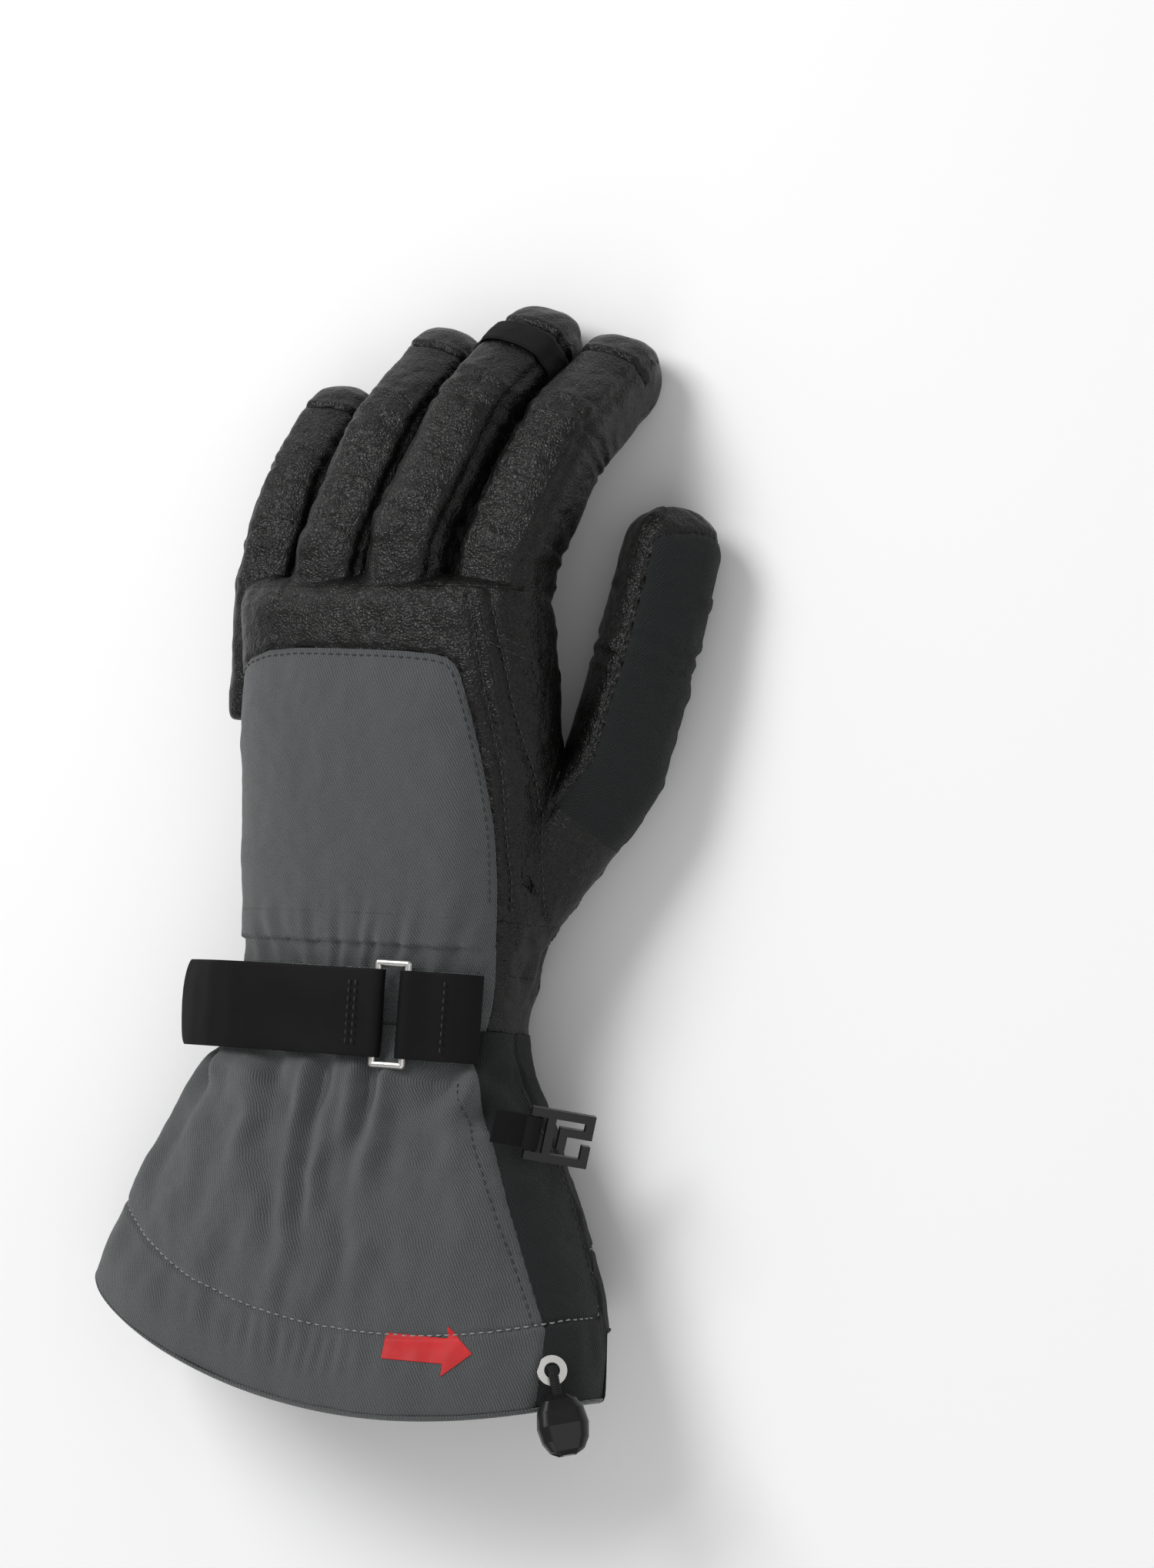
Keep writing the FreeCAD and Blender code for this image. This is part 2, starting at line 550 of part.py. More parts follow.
def build_clip():
    """Webbing loop sewn to the gusset and the moulded hook that turns in it."""
    bar, out, face = clip_axes()
    half, rim = CLIP_W / 2, 2.4
    pin = Part.makeCylinder(1.3, CLIP_W, CLIP_BAR - bar * half, bar)
    hook = clip_plate(bar, out, face, -half, -half + rim, -1.3, CLIP_LEN)
    for piece in (
        clip_plate(bar, out, face, half - rim, half, -1.3, CLIP_LEN),
        clip_plate(bar, out, face, -half, half, 3.6, 3.6 + rim),
        clip_plate(bar, out, face, -half, -1.2, CLIP_LEN - rim, CLIP_LEN),
        clip_plate(bar, out, face, 2.2, half, CLIP_LEN - rim, CLIP_LEN),
        clip_plate(bar, out, face, 0.6, 3.0, 7.5, CLIP_LEN),
        clip_plate(bar, out, face, -3.4, 3.0, 7.5, 7.5 + rim),
        pin,
    ):
        hook = hook.fuse(piece)
    web_w, clear, thick = 9.4, 0.15, 0.9
    loop = Part.makeCylinder(1.3 + clear + thick, web_w, CLIP_BAR - bar * (web_w / 2), bar)
    tab = clip_plate(bar, out, face, -web_w / 2, web_w / 2, -11.0, 0.0, -1.0, 1.6)
    webbing = loop.fuse(tab).cut(Part.makeCylinder(1.3 + clear, web_w + 2, CLIP_BAR - bar * (web_w / 2 + 1), bar))
    return {"clip_hook": hook.removeSplitter(), "clip_webbing": webbing.removeSplitter()}


def pull_axes(name):
    """Ways of a pull: out of its eyelet, the swing axis off the cuff, and across."""
    out = unit(PULLS[name]["aim"])
    normal = PULLS[name]["normal"]
    normal = unit(normal - out * normal.dot(out))
    return out, normal, out.cross(normal)


def build_pull(name):
    """Cord end out of the hem and the moulded toggle on it."""
    out, normal, across = pull_axes(name)
    eyelet = PULLS[name]["eyelet"]
    start = eyelet + normal * CORD_LIFT
    cord = Part.makeCylinder(CORD_R, CORD_SHOWN, start, out)
    a, b, c = TOGGLE_HALF
    centre = start + out * (CORD_SHOWN + b + 0.3)
    rings = []
    for turn in (-76, -55, -30, 0, 30, 55, 76):
        t = math.radians(turn)
        shrink = math.cos(t)
        wide, tall = a * (0.25 + 0.75 * shrink), c * (0.25 + 0.75 * shrink)
        station = Station(centre + out * (b * math.sin(t) / math.sin(math.radians(76))), out, normal, wide, tall, 0.85 * min(wide, tall))
        rings.append(station.wire())
    toggle = Part.makeLoft(rings, True, True)
    for side in (-1, 1):
        hole = Part.makeCylinder(1.7, 2 * b + 2, centre + across * (3.0 * side) - out * (b * 0.2), out)
        toggle = toggle.cut(hole)
    return {f"{name}_cord": cord, f"{name}_toggle": toggle}


def build_eyelets():
    """Two metal eyelets set in the hem, one for each end of the cord."""
    solids = []
    cuff = body_of(row_stations(CUFF), -0.3, (2.0, 2.0))
    for name in PULLS:
        _, normal, _ = pull_axes(name)
        base = PULLS[name]["eyelet"]
        disc = Part.makeCylinder(EYELET_R, 0.9, base + normal * 0.5, normal)
        solids.append(disc.cut(Part.makeCylinder(2.2, 3, base - normal * 0.5, normal)).cut(cuff))
    return Part.makeCompound(solids)


def arrow_patch(length, width, head, base):
    """Flat arrow along +X that starts at base, as (x, y) points."""
    x, y = base
    return [
        (x, y - width / 2),
        (x + length - head, y - width / 2),
        (x + length - head, y - width),
        (x + length, y),
        (x + length - head, y + width),
        (x + length - head, y + width / 2),
        (x, y + width / 2),
    ]


def build_arrow():
    """Printed arrow on the hem that points to the closing pull."""
    stations = row_stations(CUFF)
    skin = body_of(stations, -0.15 - PATCH / 2).cut(body_of(stations, -0.15, (1.0, 1.0)))
    return skin.common(prism(arrow_patch(26, 7, 8, (28, -92)), 40, 90))


# ---------------------------------------------------------------- assembly


def build_all():
    thumb, hole = build_thumb()
    pieces = dict(thumb)
    for name in FINGERS:
        pieces.update(build_finger(name))
    pieces["middle_pull_band"] = build_band()
    pieces.update(build_hand(hole))
    pieces.update(build_wrist())
    pieces.update(build_cuff())
    pieces.update(build_strap())
    pieces.update(build_clip())
    for name in PULLS:
        pieces.update(build_pull(name))
    pieces["hem_eyelets"] = build_eyelets()
    pieces["close_arrow"] = build_arrow()
    return pieces


def shift_to_origin(pieces):
    """Moves the pieces so that the origin is the bottom centre of their box, and returns the move."""
    box = FreeCAD.BoundBox()
    for shape in pieces.values():
        box.add(shape.optimalBoundingBox(True, False))
    move = Vector(-(box.XMin + box.XMax) / 2, -(box.YMin + box.YMax) / 2, -box.ZMin)
    for shape in pieces.values():
        shape.translate(move)
    return move


def main():
    os.makedirs("parts", exist_ok=True)
    pieces = build_all()
    move = shift_to_origin(pieces)
    for name, shape in pieces.items():
        if not shape.isValid() or not shape.Solids:
            print("not a valid solid:", name)
        shape.exportStep(f"parts/{name}.step")
    print(len(pieces), "nodes, moved by", [round(v, 3) for v in move])
    return pieces, move


if __name__ == "__main__":
    main()
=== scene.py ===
"""Ski glove: sewn leather and twill skin, strap, ring, clip and hem pulls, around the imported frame.

Shapes are worked out in millimetres in the CAD's own drawing frame: y = 0 under the middle of the strap.
MOVE takes them to the row frame. Panels are cut out of one skin along lines where a field is zero.
"""

import json
import math

import bmesh
import bpy
import numpy as np
from mathutils import Matrix, Vector, noise
from mathutils.bvhtree import BVHTree


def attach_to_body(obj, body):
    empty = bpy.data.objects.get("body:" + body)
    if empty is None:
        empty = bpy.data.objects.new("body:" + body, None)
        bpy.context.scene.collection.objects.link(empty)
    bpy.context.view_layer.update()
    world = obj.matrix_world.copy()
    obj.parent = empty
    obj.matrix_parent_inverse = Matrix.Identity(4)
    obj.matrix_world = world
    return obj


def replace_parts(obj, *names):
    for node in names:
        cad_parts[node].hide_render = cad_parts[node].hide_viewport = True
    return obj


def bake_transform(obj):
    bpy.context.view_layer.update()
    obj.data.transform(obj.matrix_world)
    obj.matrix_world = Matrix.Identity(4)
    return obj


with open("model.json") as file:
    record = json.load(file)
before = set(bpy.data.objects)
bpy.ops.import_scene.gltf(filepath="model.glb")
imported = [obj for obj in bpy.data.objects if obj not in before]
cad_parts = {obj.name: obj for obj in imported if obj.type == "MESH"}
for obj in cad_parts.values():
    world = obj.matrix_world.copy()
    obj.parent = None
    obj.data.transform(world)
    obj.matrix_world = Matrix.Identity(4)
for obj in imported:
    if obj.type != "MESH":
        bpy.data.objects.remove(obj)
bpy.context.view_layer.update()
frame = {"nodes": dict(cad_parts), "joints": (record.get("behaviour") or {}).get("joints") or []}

MM = 0.001
JOINTS = {j["name"]: j for j in frame["joints"]}
WRIST_HINGE = np.array([0.0, 20.5, 27.0])
MOVE = np.array(JOINTS["wrist_bend"]["pos_m"]) / MM - WRIST_HINGE
VOXEL = 0.95

FINGERS = ("index", "middle", "ring", "little")
HALF = {  # half width and half height of each digit
    "index": (13.0, 13.4),
    "middle": (12.7, 13.4),
    "ring": (12.2, 13.0),
    "little": (11.2, 12.0),
    "thumb": (14.2, 13.4),
}
FAR_LENGTH = {"index": 43, "middle": 45, "ring": 43, "little": 37, "thumb": 43}
FAR_PITCH = {"index": -46.0, "middle": -46.0, "ring": -43.0, "little": -38.0}
THUMB_HEADINGS, THUMB_PITCHES = (12.0, 8.0), (-3.0, -6.0)
THUMB_AWAY = np.array([0.75, 0.0, 0.66])
SKIN_IN = 1.1  # how much thinner the skin is while it is remeshed, so that fingers stay apart

# y, centre x, centre z, half width, half height and roll of the hand and wrist, and the same of the cuff without roll
HAND = [
    (-16, -1, 24.8, 47, 23.2, 0),
    (0, -0.5, 24.4, 44, 22, 0),
    (13, 2, 25.4, 44.5, 22.5, 0),
    (28, 4.5, 28.5, 46, 23.5, 0),
    (60, 6.4, 33.8, 48.5, 24.5, 3),
    (92, 5.6, 39.4, 50, 23.5, 5.5),
    (119, 3.6, 43, 50.5, 21, 7),
]
CUFF = [
    (-3, -0.7, 24.4, 45.2, 22.9),
    (-10, -1, 24.6, 46.2, 23.7),
    (-14, -1, 25, 48, 25),
    (-50, -1, 28.5, 67.5, 28.5),
    (-84, -1, 31.5, 79.5, 31.5),
    (-114, -1, 32.5, 84, 32.5),
]
SEAM_Z = 27.0
HEM_PALM_Y, HEM_LOW, HEM_BOW_R = -84.0, (24.0, -111.0), 187.0
HEM_DEPTH = 22.0
GUSSET = ((-12.0, 39.0), (-84.0, 71.5))  # (y, x) ends of the seam of the cuff's gusset
CUFF_TOP_Y = -3.0

WORLD_LIGHT = 0.36
FLOOR_HALF, FLOOR_DROP = 2500.0, 0.2  # half the floor's side, and how far it lies under the glove
CAMERA_LENS, CAMERA_DISTANCE = 129.2, 1.2
# towards the thumb, towards the fingers, and turned, in degrees
CAMERA_TILT, CAMERA_LEAN, CAMERA_ROLL = 25.1, -4.1, 4.5
CAMERA_AIM = (5.0, 50.0, 30.0)  # a point of the glove, in the middle of the back of the hand
CAMERA_PAN = (50.6, 17.0)  # how far right of it and above it the middle of the frame lies


# ------------------------------------------------------------------ small helpers


def unit(v):
    v = np.asarray(v, float)
    return v / np.linalg.norm(v)


def direction(heading, pitch):
    h, p = math.radians(heading), math.radians(pitch)
    return np.array([math.sin(h) * math.cos(p), math.cos(h) * math.cos(p), math.sin(p)])


def local(joint):
    """A hinge's place, in the drawing frame."""
    return np.array(JOINTS[joint]["pos_m"]) / MM - MOVE


def step(x, low, high):
    t = np.clip((x - low) / (high - low), 0, 1)
    return t * t * (3 - 2 * t)


def bump(x, middle, width):
    return np.exp(-(((x - middle) / width) ** 2))


def smoothed(rows, count=160, sigma=5.0):
    """The rows as a smooth curve of many rows, by their first column."""
    rows = np.array(sorted(rows), float)
    y = np.linspace(rows[0, 0], rows[-1, 0], count)
    kernel = np.exp(-0.5 * (np.arange(-20, 21) / sigma) ** 2)
    kernel /= kernel.sum()
    columns = [y]
    for k in range(1, rows.shape[1]):
        v = np.interp(y, rows[:, 0], rows[:, k])
        ends = np.concatenate([2 * v[0] - v[20:0:-1], v, 2 * v[-1] - v[-2:-22:-1]])
        columns.append(np.convolve(ends, kernel, "valid"))
    return np.stack(columns, 1)


def look_up(table, y):
    return [np.interp(y, table[:, 0], table[:, k]) for k in range(1, table.shape[1])]


def section(angle, half_w, half_h, power=2.9):
    """Offsets of a rounded-rectangle outline at an angle from +right."""
    c, s = np.cos(angle), np.sin(angle)
    scale = (np.abs(c / half_w) ** power + np.abs(s / half_h) ** power) ** (-1 / power)
    return c * scale, s * scale


def fractal(points, size, seed=0.0, octaves=3):
    """Smooth noise at each point, about -1 to 1."""
    offset = Vector((seed, seed * 1.7, -seed * 0.6))
    return np.array([noise.fractal(Vector(p) / size + offset, 0.9, 2.0, octaves) for p in points])


def make_mesh(name, verts, faces, material=None, smooth=True):
    """A mesh object from drawing-frame points."""
    mesh = bpy.data.meshes.new(name)
    points = (np.asarray(verts, float) + MOVE) * MM
    mesh.from_pydata([tuple(v) for v in points], [], [tuple(int(i) for i in f) for f in faces])
    mesh.validate()
    mesh.update()
    obj = bpy.data.objects.new(name, mesh)
    bpy.context.scene.collection.objects.link(obj)
    if smooth:
        mesh.polygons.foreach_set("use_smooth", [True] * len(mesh.polygons))
    if material:
        mesh.materials.append(material)
    return obj


def modifier(obj, kind, **values):
    m = obj.modifiers.new(kind.lower(), kind)
    for key, value in values.items():
        setattr(m, key, value)
    return m


def bake_modifiers(obj):
    graph = bpy.context.evaluated_depsgraph_get()
    mesh = bpy.data.meshes.new_from_object(obj.evaluated_get(graph))
    obj.modifiers.clear()
    obj.data = mesh
    return obj


def join(objects, name):
    bpy.ops.object.select_all(action="DESELECT")
    for o in objects:
        o.select_set(True)
    bpy.context.view_layer.objects.active = objects[0]
    if len(objects) > 1:
        bpy.ops.object.join()
    objects[0].name = name
    return objects[0]


def grid_faces(rings, around, closed=True):
    last = around if closed else around - 1
    return [
        (r * around + k, r * around + (k + 1) % around, (r + 1) * around + (k + 1) % around, (r + 1) * around + k)
        for r in range(rings - 1)
        for k in range(last)
    ]


def grid_triangles(rings, around, closed=True):
    quads = np.array(grid_faces(rings, around, closed))
    return np.concatenate([quads[:, [0, 2, 1]], quads[:, [0, 3, 2]]])


def set_flat(obj, coordinates):
    """Gives a mesh the cloth coordinates, in mm, that the woven materials read."""
    layer = obj.data.attributes.new("flat", "FLOAT_VECTOR", "POINT")
    layer.data.foreach_set("vector", np.asarray(coordinates).astype(np.float32).ravel())


# ------------------------------------------------------------------ materials


class Nodes:
    """A material's node tree, with short calls."""

    def __init__(self, name):
        self.material = bpy.data.materials.new(name)
        self.material.use_nodes = True
        self.tree = self.material.node_tree
        self.tree.nodes.clear()

    def add(self, kind, settings=None, **inputs):
        node = self.tree.nodes.new("ShaderNode" + kind)
        for key, value in (settings or {}).items():
            setattr(node, key, value)
        for key, value in inputs.items():
            numbered = key[0] == "i" and key[1:].isdigit()
            socket = node.inputs[int(key[1:])] if numbered else node.inputs[key.replace("_", " ")]
            if isinstance(value, bpy.types.NodeSocket):
                self.tree.links.new(value, socket)
            else:
                socket.default_value = value
        return node

    def math(self, op, a, b=0.0, clamp=False):
        return self.add("Math", {"operation": op, "use_clamp": clamp}, i0=a, i1=b).outputs[0]

    def ramp(self, factor, low, high):
        return self.add("MapRange", {"clamp": True}, Value=factor, From_Min=low, From_Max=high).outputs[0]

    def mix(self, factor, a, b):
        node = self.add("Mix", {"data_type": "RGBA"}, Factor=factor)
        for socket, value in ((node.inputs[6], a), (node.inputs[7], b)):
            if isinstance(value, bpy.types.NodeSocket):
                self.tree.links.new(value, socket)
            else:
                socket.default_value = (*value, 1)
        return node.outputs[2]

    def noise(self, vector, scale, detail=3.0, rough=0.55):
        return self.add("TexNoise", Vector=vector, Scale=scale, Detail=detail, Roughness=rough).outputs[0]

    def bump(self, height, distance, strength=1.0, normal=None):
        extra = {"Normal": normal} if normal else {}
        return self.add("Bump", Height=height, Distance=distance, Strength=strength, **extra).outputs[0]

    def finish(self, **shader):
        surface = self.add("BsdfPrincipled", **shader)
        out = self.add("OutputMaterial")
        self.tree.links.new(surface.outputs[0], out.inputs[0])
        return self.material


def leather(name, tone=(0.0042, 0.0037, 0.0033), grain=1050.0, gloss=0.27):
    """Goat leather: fine pebbles with painted shade in the creases between them, and lighter where it is rubbed."""
    n = Nodes(name)
    place = n.add("TexCoord").outputs["Object"]
    drift = n.add("TexNoise", Vector=place, Scale=420.0, Detail=2.0).outputs[1]
    warp = n.add("VectorMath", {"operation": "SCALE"}, i0=drift, Scale=0.0011).outputs[0]
    moved = n.add("VectorMath", {"operation": "ADD"}, i0=place, i1=warp).outputs[0]
    cells = n.add("TexVoronoi", {"feature": "DISTANCE_TO_EDGE"}, Vector=moved, Scale=grain).outputs["Distance"]
    pebble = n.ramp(cells, 0.0, 0.42)
    fine = n.noise(place, 5200.0, 2.0)
    wave = n.noise(place, 190.0, 4.0)
    worn = n.ramp(n.noise(place, 34.0, 4.0), 0.42, 0.78)
    height = n.math("ADD", n.math("MULTIPLY", pebble, 0.8), n.math("MULTIPLY", fine, 0.22))
    dark, light = tone, tuple(c * 2.3 + 0.004 for c in tone)
    colour = n.mix(n.math("MULTIPLY", worn, 0.55), dark, light)
    # painted shade: the colour is darker in the creases between the pebbles
    colour = n.mix(n.math("MULTIPLY", n.math("SUBTRACT", 1.0, pebble), 0.5), colour, tuple(c * 0.35 for c in tone))
    rough = n.math("ADD", n.math("MULTIPLY", pebble, -0.1), n.math("ADD", n.math("MULTIPLY", wave, 0.22), gloss))
    normal = n.bump(wave, 0.0016, 0.8)
    normal = n.bump(height, 0.00022, 0.8, normal)
    return n.finish(Base_Color=colour, Roughness=rough, Normal=normal, Specular_IOR_Level=0.30)


def twill(name, tone, pitch=0.77, lean=62.0, sheen=0.25):
    """Diagonal weave: raised ridges that each break into small threads, with painted light on the ridges and painted
    shade in the grooves. Reads the panel's own flat coordinates.
    """
    n = Nodes(name)
    flat = n.add("Attribute", {"attribute_name": "flat"}).outputs["Vector"]
    turned = n.add("VectorRotate", {"rotation_type": "Z_AXIS"}, Vector=flat, Angle=math.radians(lean)).outputs[0]
    parts = n.add("SeparateXYZ", Vector=turned).outputs
    wobble = n.math("MULTIPLY", n.noise(flat, 0.35, 2.0), 0.9)
    across = n.math("DIVIDE", n.math("ADD", parts[1], wobble), pitch)
    ridge = n.math("ABSOLUTE", n.math("SINE", n.math("MULTIPLY", across, math.pi)))
    row = n.math("MULTIPLY", n.math("FLOOR", across), 0.5)
    along = n.math("ADD", n.math("DIVIDE", parts[0], pitch * 0.85), row)
    thread = n.math("ABSOLUTE", n.math("SINE", n.math("MULTIPLY", along, math.pi)))
    height = n.math("MULTIPLY", n.math("POWER", ridge, 0.6), n.math("ADD", 0.62, n.math("MULTIPLY", thread, 0.38)))
    place = n.add("TexCoord").outputs["Object"]
    fleck = n.noise(place, 2600.0, 2.0)
    cloud = n.noise(place, 28.0, 4.0)
    # painted light and shade: the ridges are lighter and the grooves between them darker; the flecks are random
    shade = n.math("ADD", n.math("MULTIPLY", height, 0.75), n.math("MULTIPLY", fleck, 0.4), True)
    dark, light = tuple(c * 0.16 for c in tone), tuple(min(c * 1.6, 1) for c in tone)
    colour = n.mix(shade, dark, light)
    colour = n.mix(n.math("MULTIPLY", n.ramp(cloud, 0.35, 0.7), 0.28), colour, tuple(c * 1.25 for c in tone))
    normal = n.bump(height, 0.00026, 1.0)
    return n.finish(Base_Color=colour, Roughness=0.82, Normal=normal, Sheen_Weight=sheen, Sheen_Roughness=0.5,
                    Specular_IOR_Level=0.25)


def ribbed(name, tone, pitch=1.1, rough=0.8, axis=0, distance=0.00018):
    """Grosgrain webbing or ribbed elastic: fine cross ribs over the piece's flat coordinates, with painted light on
    the ribs and painted shade between them.
    """
    n = Nodes(name)
    flat = n.add("SeparateXYZ", Vector=n.add("Attribute", {"attribute_name": "flat"}).outputs["Vector"]).outputs
    rib = n.math("ABSOLUTE", n.math("SINE", n.math("MULTIPLY", flat[axis], math.pi / pitch)))
    cross = n.math("ABSOLUTE", n.math("SINE", n.math("MULTIPLY", flat[1 - axis], math.pi / (pitch * 0.6))))
    place = n.add("TexCoord").outputs["Object"]
    fleck = n.noise(place, 3000.0, 2.0)
    height = n.math("ADD", rib, n.math("MULTIPLY", cross, 0.25))
    # painted light and shade: the ribs are lighter and the grooves between them darker; the flecks are random
    shade = n.math("MULTIPLY", n.math("ADD", rib, fleck), 0.5)
    colour = n.mix(shade, tuple(c * 0.45 for c in tone), tuple(c * 1.6 for c in tone))
    return n.finish(Base_Color=colour, Roughness=rough, Normal=n.bump(height, distance, 0.8),
                    Specular_IOR_Level=0.18)


def plain(name, tone, rough, metallic=0.0, coat=0.0, scale=900.0, distance=0.00004, sheen=0.0, specular=0.5):
    """Moulded, metal or rubbery finish with fine unevenness and a little wear."""
    n = Nodes(name)
    place = n.add("TexCoord").outputs["Object"]
    fine, cloud = n.noise(place, scale, 3.0), n.noise(place, 70.0, 4.0)
    colour = n.mix(n.math("MULTIPLY", n.ramp(cloud, 0.45, 0.75), 0.4), tone, tuple(min(c * 1.7 + 0.003, 1) for c in tone))
    roughness = n.math("ADD", n.math("MULTIPLY", cloud, 0.16), rough - 0.06)
    return n.finish(Base_Color=colour, Roughness=roughness, Metallic=metallic, Coat_Weight=coat, Coat_Roughness=0.12,
                    Normal=n.bump(fine, distance, 0.7), Sheen_Weight=sheen, Specular_IOR_Level=specular)


def pile(name, tone, scale=1500.0):
    """Looped or brushed pile, such as fleece or the soft half of a touch fastener, with painted shade down between the
    loops.
    """
    n = Nodes(name)
    place = n.add("TexCoord").outputs["Object"]
    loops = n.add("TexVoronoi", {"feature": "F1"}, Vector=place, Scale=scale).outputs["Distance"]
    tuft = n.noise(place, scale * 0.3, 4.0)
    height = n.math("ADD", n.math("MULTIPLY", loops, -0.7), tuft)
    # painted shade: darker down between the loops and tufts, lighter on their tops
    colour = n.mix(n.ramp(height, -0.2, 0.6), tuple(c * 0.3 for c in tone), tuple(c * 1.7 for c in tone))
    return n.finish(Base_Color=colour, Roughness=0.95, Normal=n.bump(height, 0.0005, 0.9), Sheen_Weight=0.5,
                    Sheen_Roughness=0.6)


LEATHER = leather("leather_black")
GREY = twill("twill_grey", (0.062, 0.066, 0.068))
BLACK = twill("twill_black", (0.0095, 0.0105, 0.0110), 0.7, 58.0, 0.05)
WEBBING = ribbed("webbing_black", (0.0065, 0.0065, 0.007))
STRAP = plain("strap_rubbery", (0.0042, 0.0042, 0.0045), 0.62, 0, 0, 1400.0, 0.00006, 0.0, 0.12)
LOOP_PILE = pile("loop_pile", (0.022, 0.022, 0.023))
FLEECE = pile("fleece", (0.03, 0.03, 0.032), 900.0)
THREAD = plain("thread_black", (0.022, 0.022, 0.023), 0.6, 0, 0, 4000.0, 0.00005)
THREAD_GREY = plain("thread_grey", (0.22, 0.22, 0.22), 0.65, 0, 0, 4000.0, 0.00005)
GLOSS = plain("moulded_gloss", (0.0045, 0.0045, 0.0047), 0.3, 0, 0.08, 900.0, 0.00004, 0.0, 0.3)
STEEL = plain("steel_satin", (0.60, 0.59, 0.57), 0.30, 1.0, 0, 1800.0, 0.00002)
CORD = ribbed("cord_braid", (0.014, 0.014, 0.015), 0.8, 0.75)
RED = plain("print_red", (0.46, 0.022, 0.024), 0.5, 0, 0, 900.0, 0.00004, 0.0, 0.2)


# ------------------------------------------------------------------ digits


class Digit:
    """The smooth centre line of a finger or the thumb, and its sections along it."""

    def __init__(self, name):
        self.name = name
        self.half = HALF[name]
        thumb = name == "thumb"
        self.knuckle = local("thumb_base" if thumb else name + "_knuckle")
        self.middle = local("thumb_middle" if thumb else name + "_middle")
        near = unit(self.middle - self.knuckle)
        heading = math.degrees(math.atan2(near[0], near[1]))
        far = direction(THUMB_HEADINGS[1], THUMB_PITCHES[1]) if thumb else direction(heading, FAR_PITCH[name])
        self.tip = self.middle + far * FAR_LENGTH[name]
        self.hint = THUMB_AWAY if thumb else np.array([0.0, 0.0, 1.0])
        lag = math.tan(math.radians(heading))
        if thumb:
            root, start = np.array([40.0, 36.0, 27.0]), np.array([30.0, 24.0, 27.0])
        else:
            root = np.array([self.knuckle[0] - 20 * lag, 106.0, self.knuckle[2] - 4.0])
            start = root - np.array([12 * lag, 22.0, 4.0])
        corners = np.array([start, root, self.knuckle, self.middle, self.tip])
        length = np.r_[0, np.cumsum(np.linalg.norm(np.diff(corners, axis=0), axis=1))]
        raw = smoothed([(s, *c) for s, c in zip(length, corners)], 240, 6.0)
        self.centre = raw[:, 1:]
        self.s = np.r_[0, np.cumsum(np.linalg.norm(np.diff(self.centre, axis=0), axis=1))]
        self.length = self.s[-1]
        self.along = np.gradient(self.centre, axis=0)
        self.along /= np.linalg.norm(self.along, axis=1)[:, None]
        self.right = np.cross(self.along, self.hint)
        self.right /= np.linalg.norm(self.right, axis=1)[:, None]
        self.up = np.cross(self.right, self.along)
        self.s_knuckle, self.s_middle = (self.nearest(p[None])[0][0] for p in (self.knuckle, self.middle))
        self.s_cap = self.length - 15.0

    def at(self, s):
        curves = (self.centre, self.along, self.right, self.up)
        return [np.stack([np.interp(s, self.s, a[:, k]) for k in range(3)], -1) for a in curves]

    def sizes(self, s):
        """Half sizes at s, rounded off to the tip."""
        w, h = self.half
        taper = 1.0 - 0.05 * step(s, self.s_knuckle, self.length)
        root = 1.0 + (0.10 if self.name == "thumb" else 0.0) * (1 - step(s, 0, self.s_knuckle))
        dome = np.clip((s - (self.length - 13.0)) / 13.0, 0, 1)
        close = (1 - dome**2.5) ** (1 / 2.5)
        return w * taper * root * close, h * taper * root * close

    def nearest(self, points):
        """(s, side, lift) of each point: how far along, and its offsets to the right and up."""
        found = np.zeros(len(points))
        for first in range(0, len(points), 4000):
            part = points[first : first + 4000]
            found[first : first + 4000] = self.s[np.argmin(((part[:, None] - self.centre[None]) ** 2).sum(2), axis=1)]
        centre, _, right, up = self.at(found)
        away = points - centre
        return found, (away * right).sum(1), (away * up).sum(1)

    def blank(self, inset):
        """Closed tube of this digit, for the remesh."""
        rings, around, tip_rings, tip = 90, 40, 24, 14
        shaft = np.linspace(2, self.length - tip, rings - tip_rings)
        s = np.concatenate([shaft, self.length - tip + tip * np.sin(np.linspace(0.06, 1.555, tip_rings))])
        centre, _, right, up = self.at(s)
        w, h = self.sizes(s)
        w, h = np.maximum(w - inset, 0.15), np.maximum(h - inset, 0.15)
        angle = np.linspace(0, 2 * math.pi, around, endpoint=False)
        verts = []
        for k in range(rings):
            x, z = section(angle, w[k], h[k], 3.0)
            verts.append(centre[k] + x[:, None] * right[k] + z[:, None] * up[k])
        faces = grid_faces(rings, around)
        faces += [tuple(range(around))[::-1], tuple(range((rings - 1) * around, rings * around))]
        return make_mesh("blank_" + self.name, np.concatenate(verts), faces)


DIGITS = {name: Digit(name) for name in (*FINGERS, "thumb")}
HAND_ROWS = smoothed(HAND)
CUFF_ROWS = smoothed(CUFF)


# ------------------------------------------------------------------ the hand's skin


def hand_blank(inset):
    rings, around = 110, 96
    y = np.concatenate([np.linspace(-4, 112, rings - 16), 112 + 12 * np.sin(np.linspace(0.1, 1.5, 16))])
    angle = np.linspace(0, 2 * math.pi, around, endpoint=False)
    verts = []
    for k in range(rings):
        cx, cz, w, h, roll = look_up(HAND_ROWS, y[k])
        close = (1 - np.clip((y[k] - 112) / 12.4, 0, 1) ** 2.6) ** (1 / 2.6)
        x, z = section(angle, (w - inset) * (0.9 + 0.1 * close), (h - inset) * close)
        c, s = math.cos(math.radians(roll)), math.sin(math.radians(roll))
        x, z = x * c - z * s, z * c + x * s
        verts.append(np.stack([cx + x, np.full(around, y[k]), cz + z], 1))
    faces = grid_faces(rings, around)
    faces += [tuple(range(around))[::-1], tuple(range((rings - 1) * around, rings * around))]
    return make_mesh("blank_hand", np.concatenate(verts), faces)


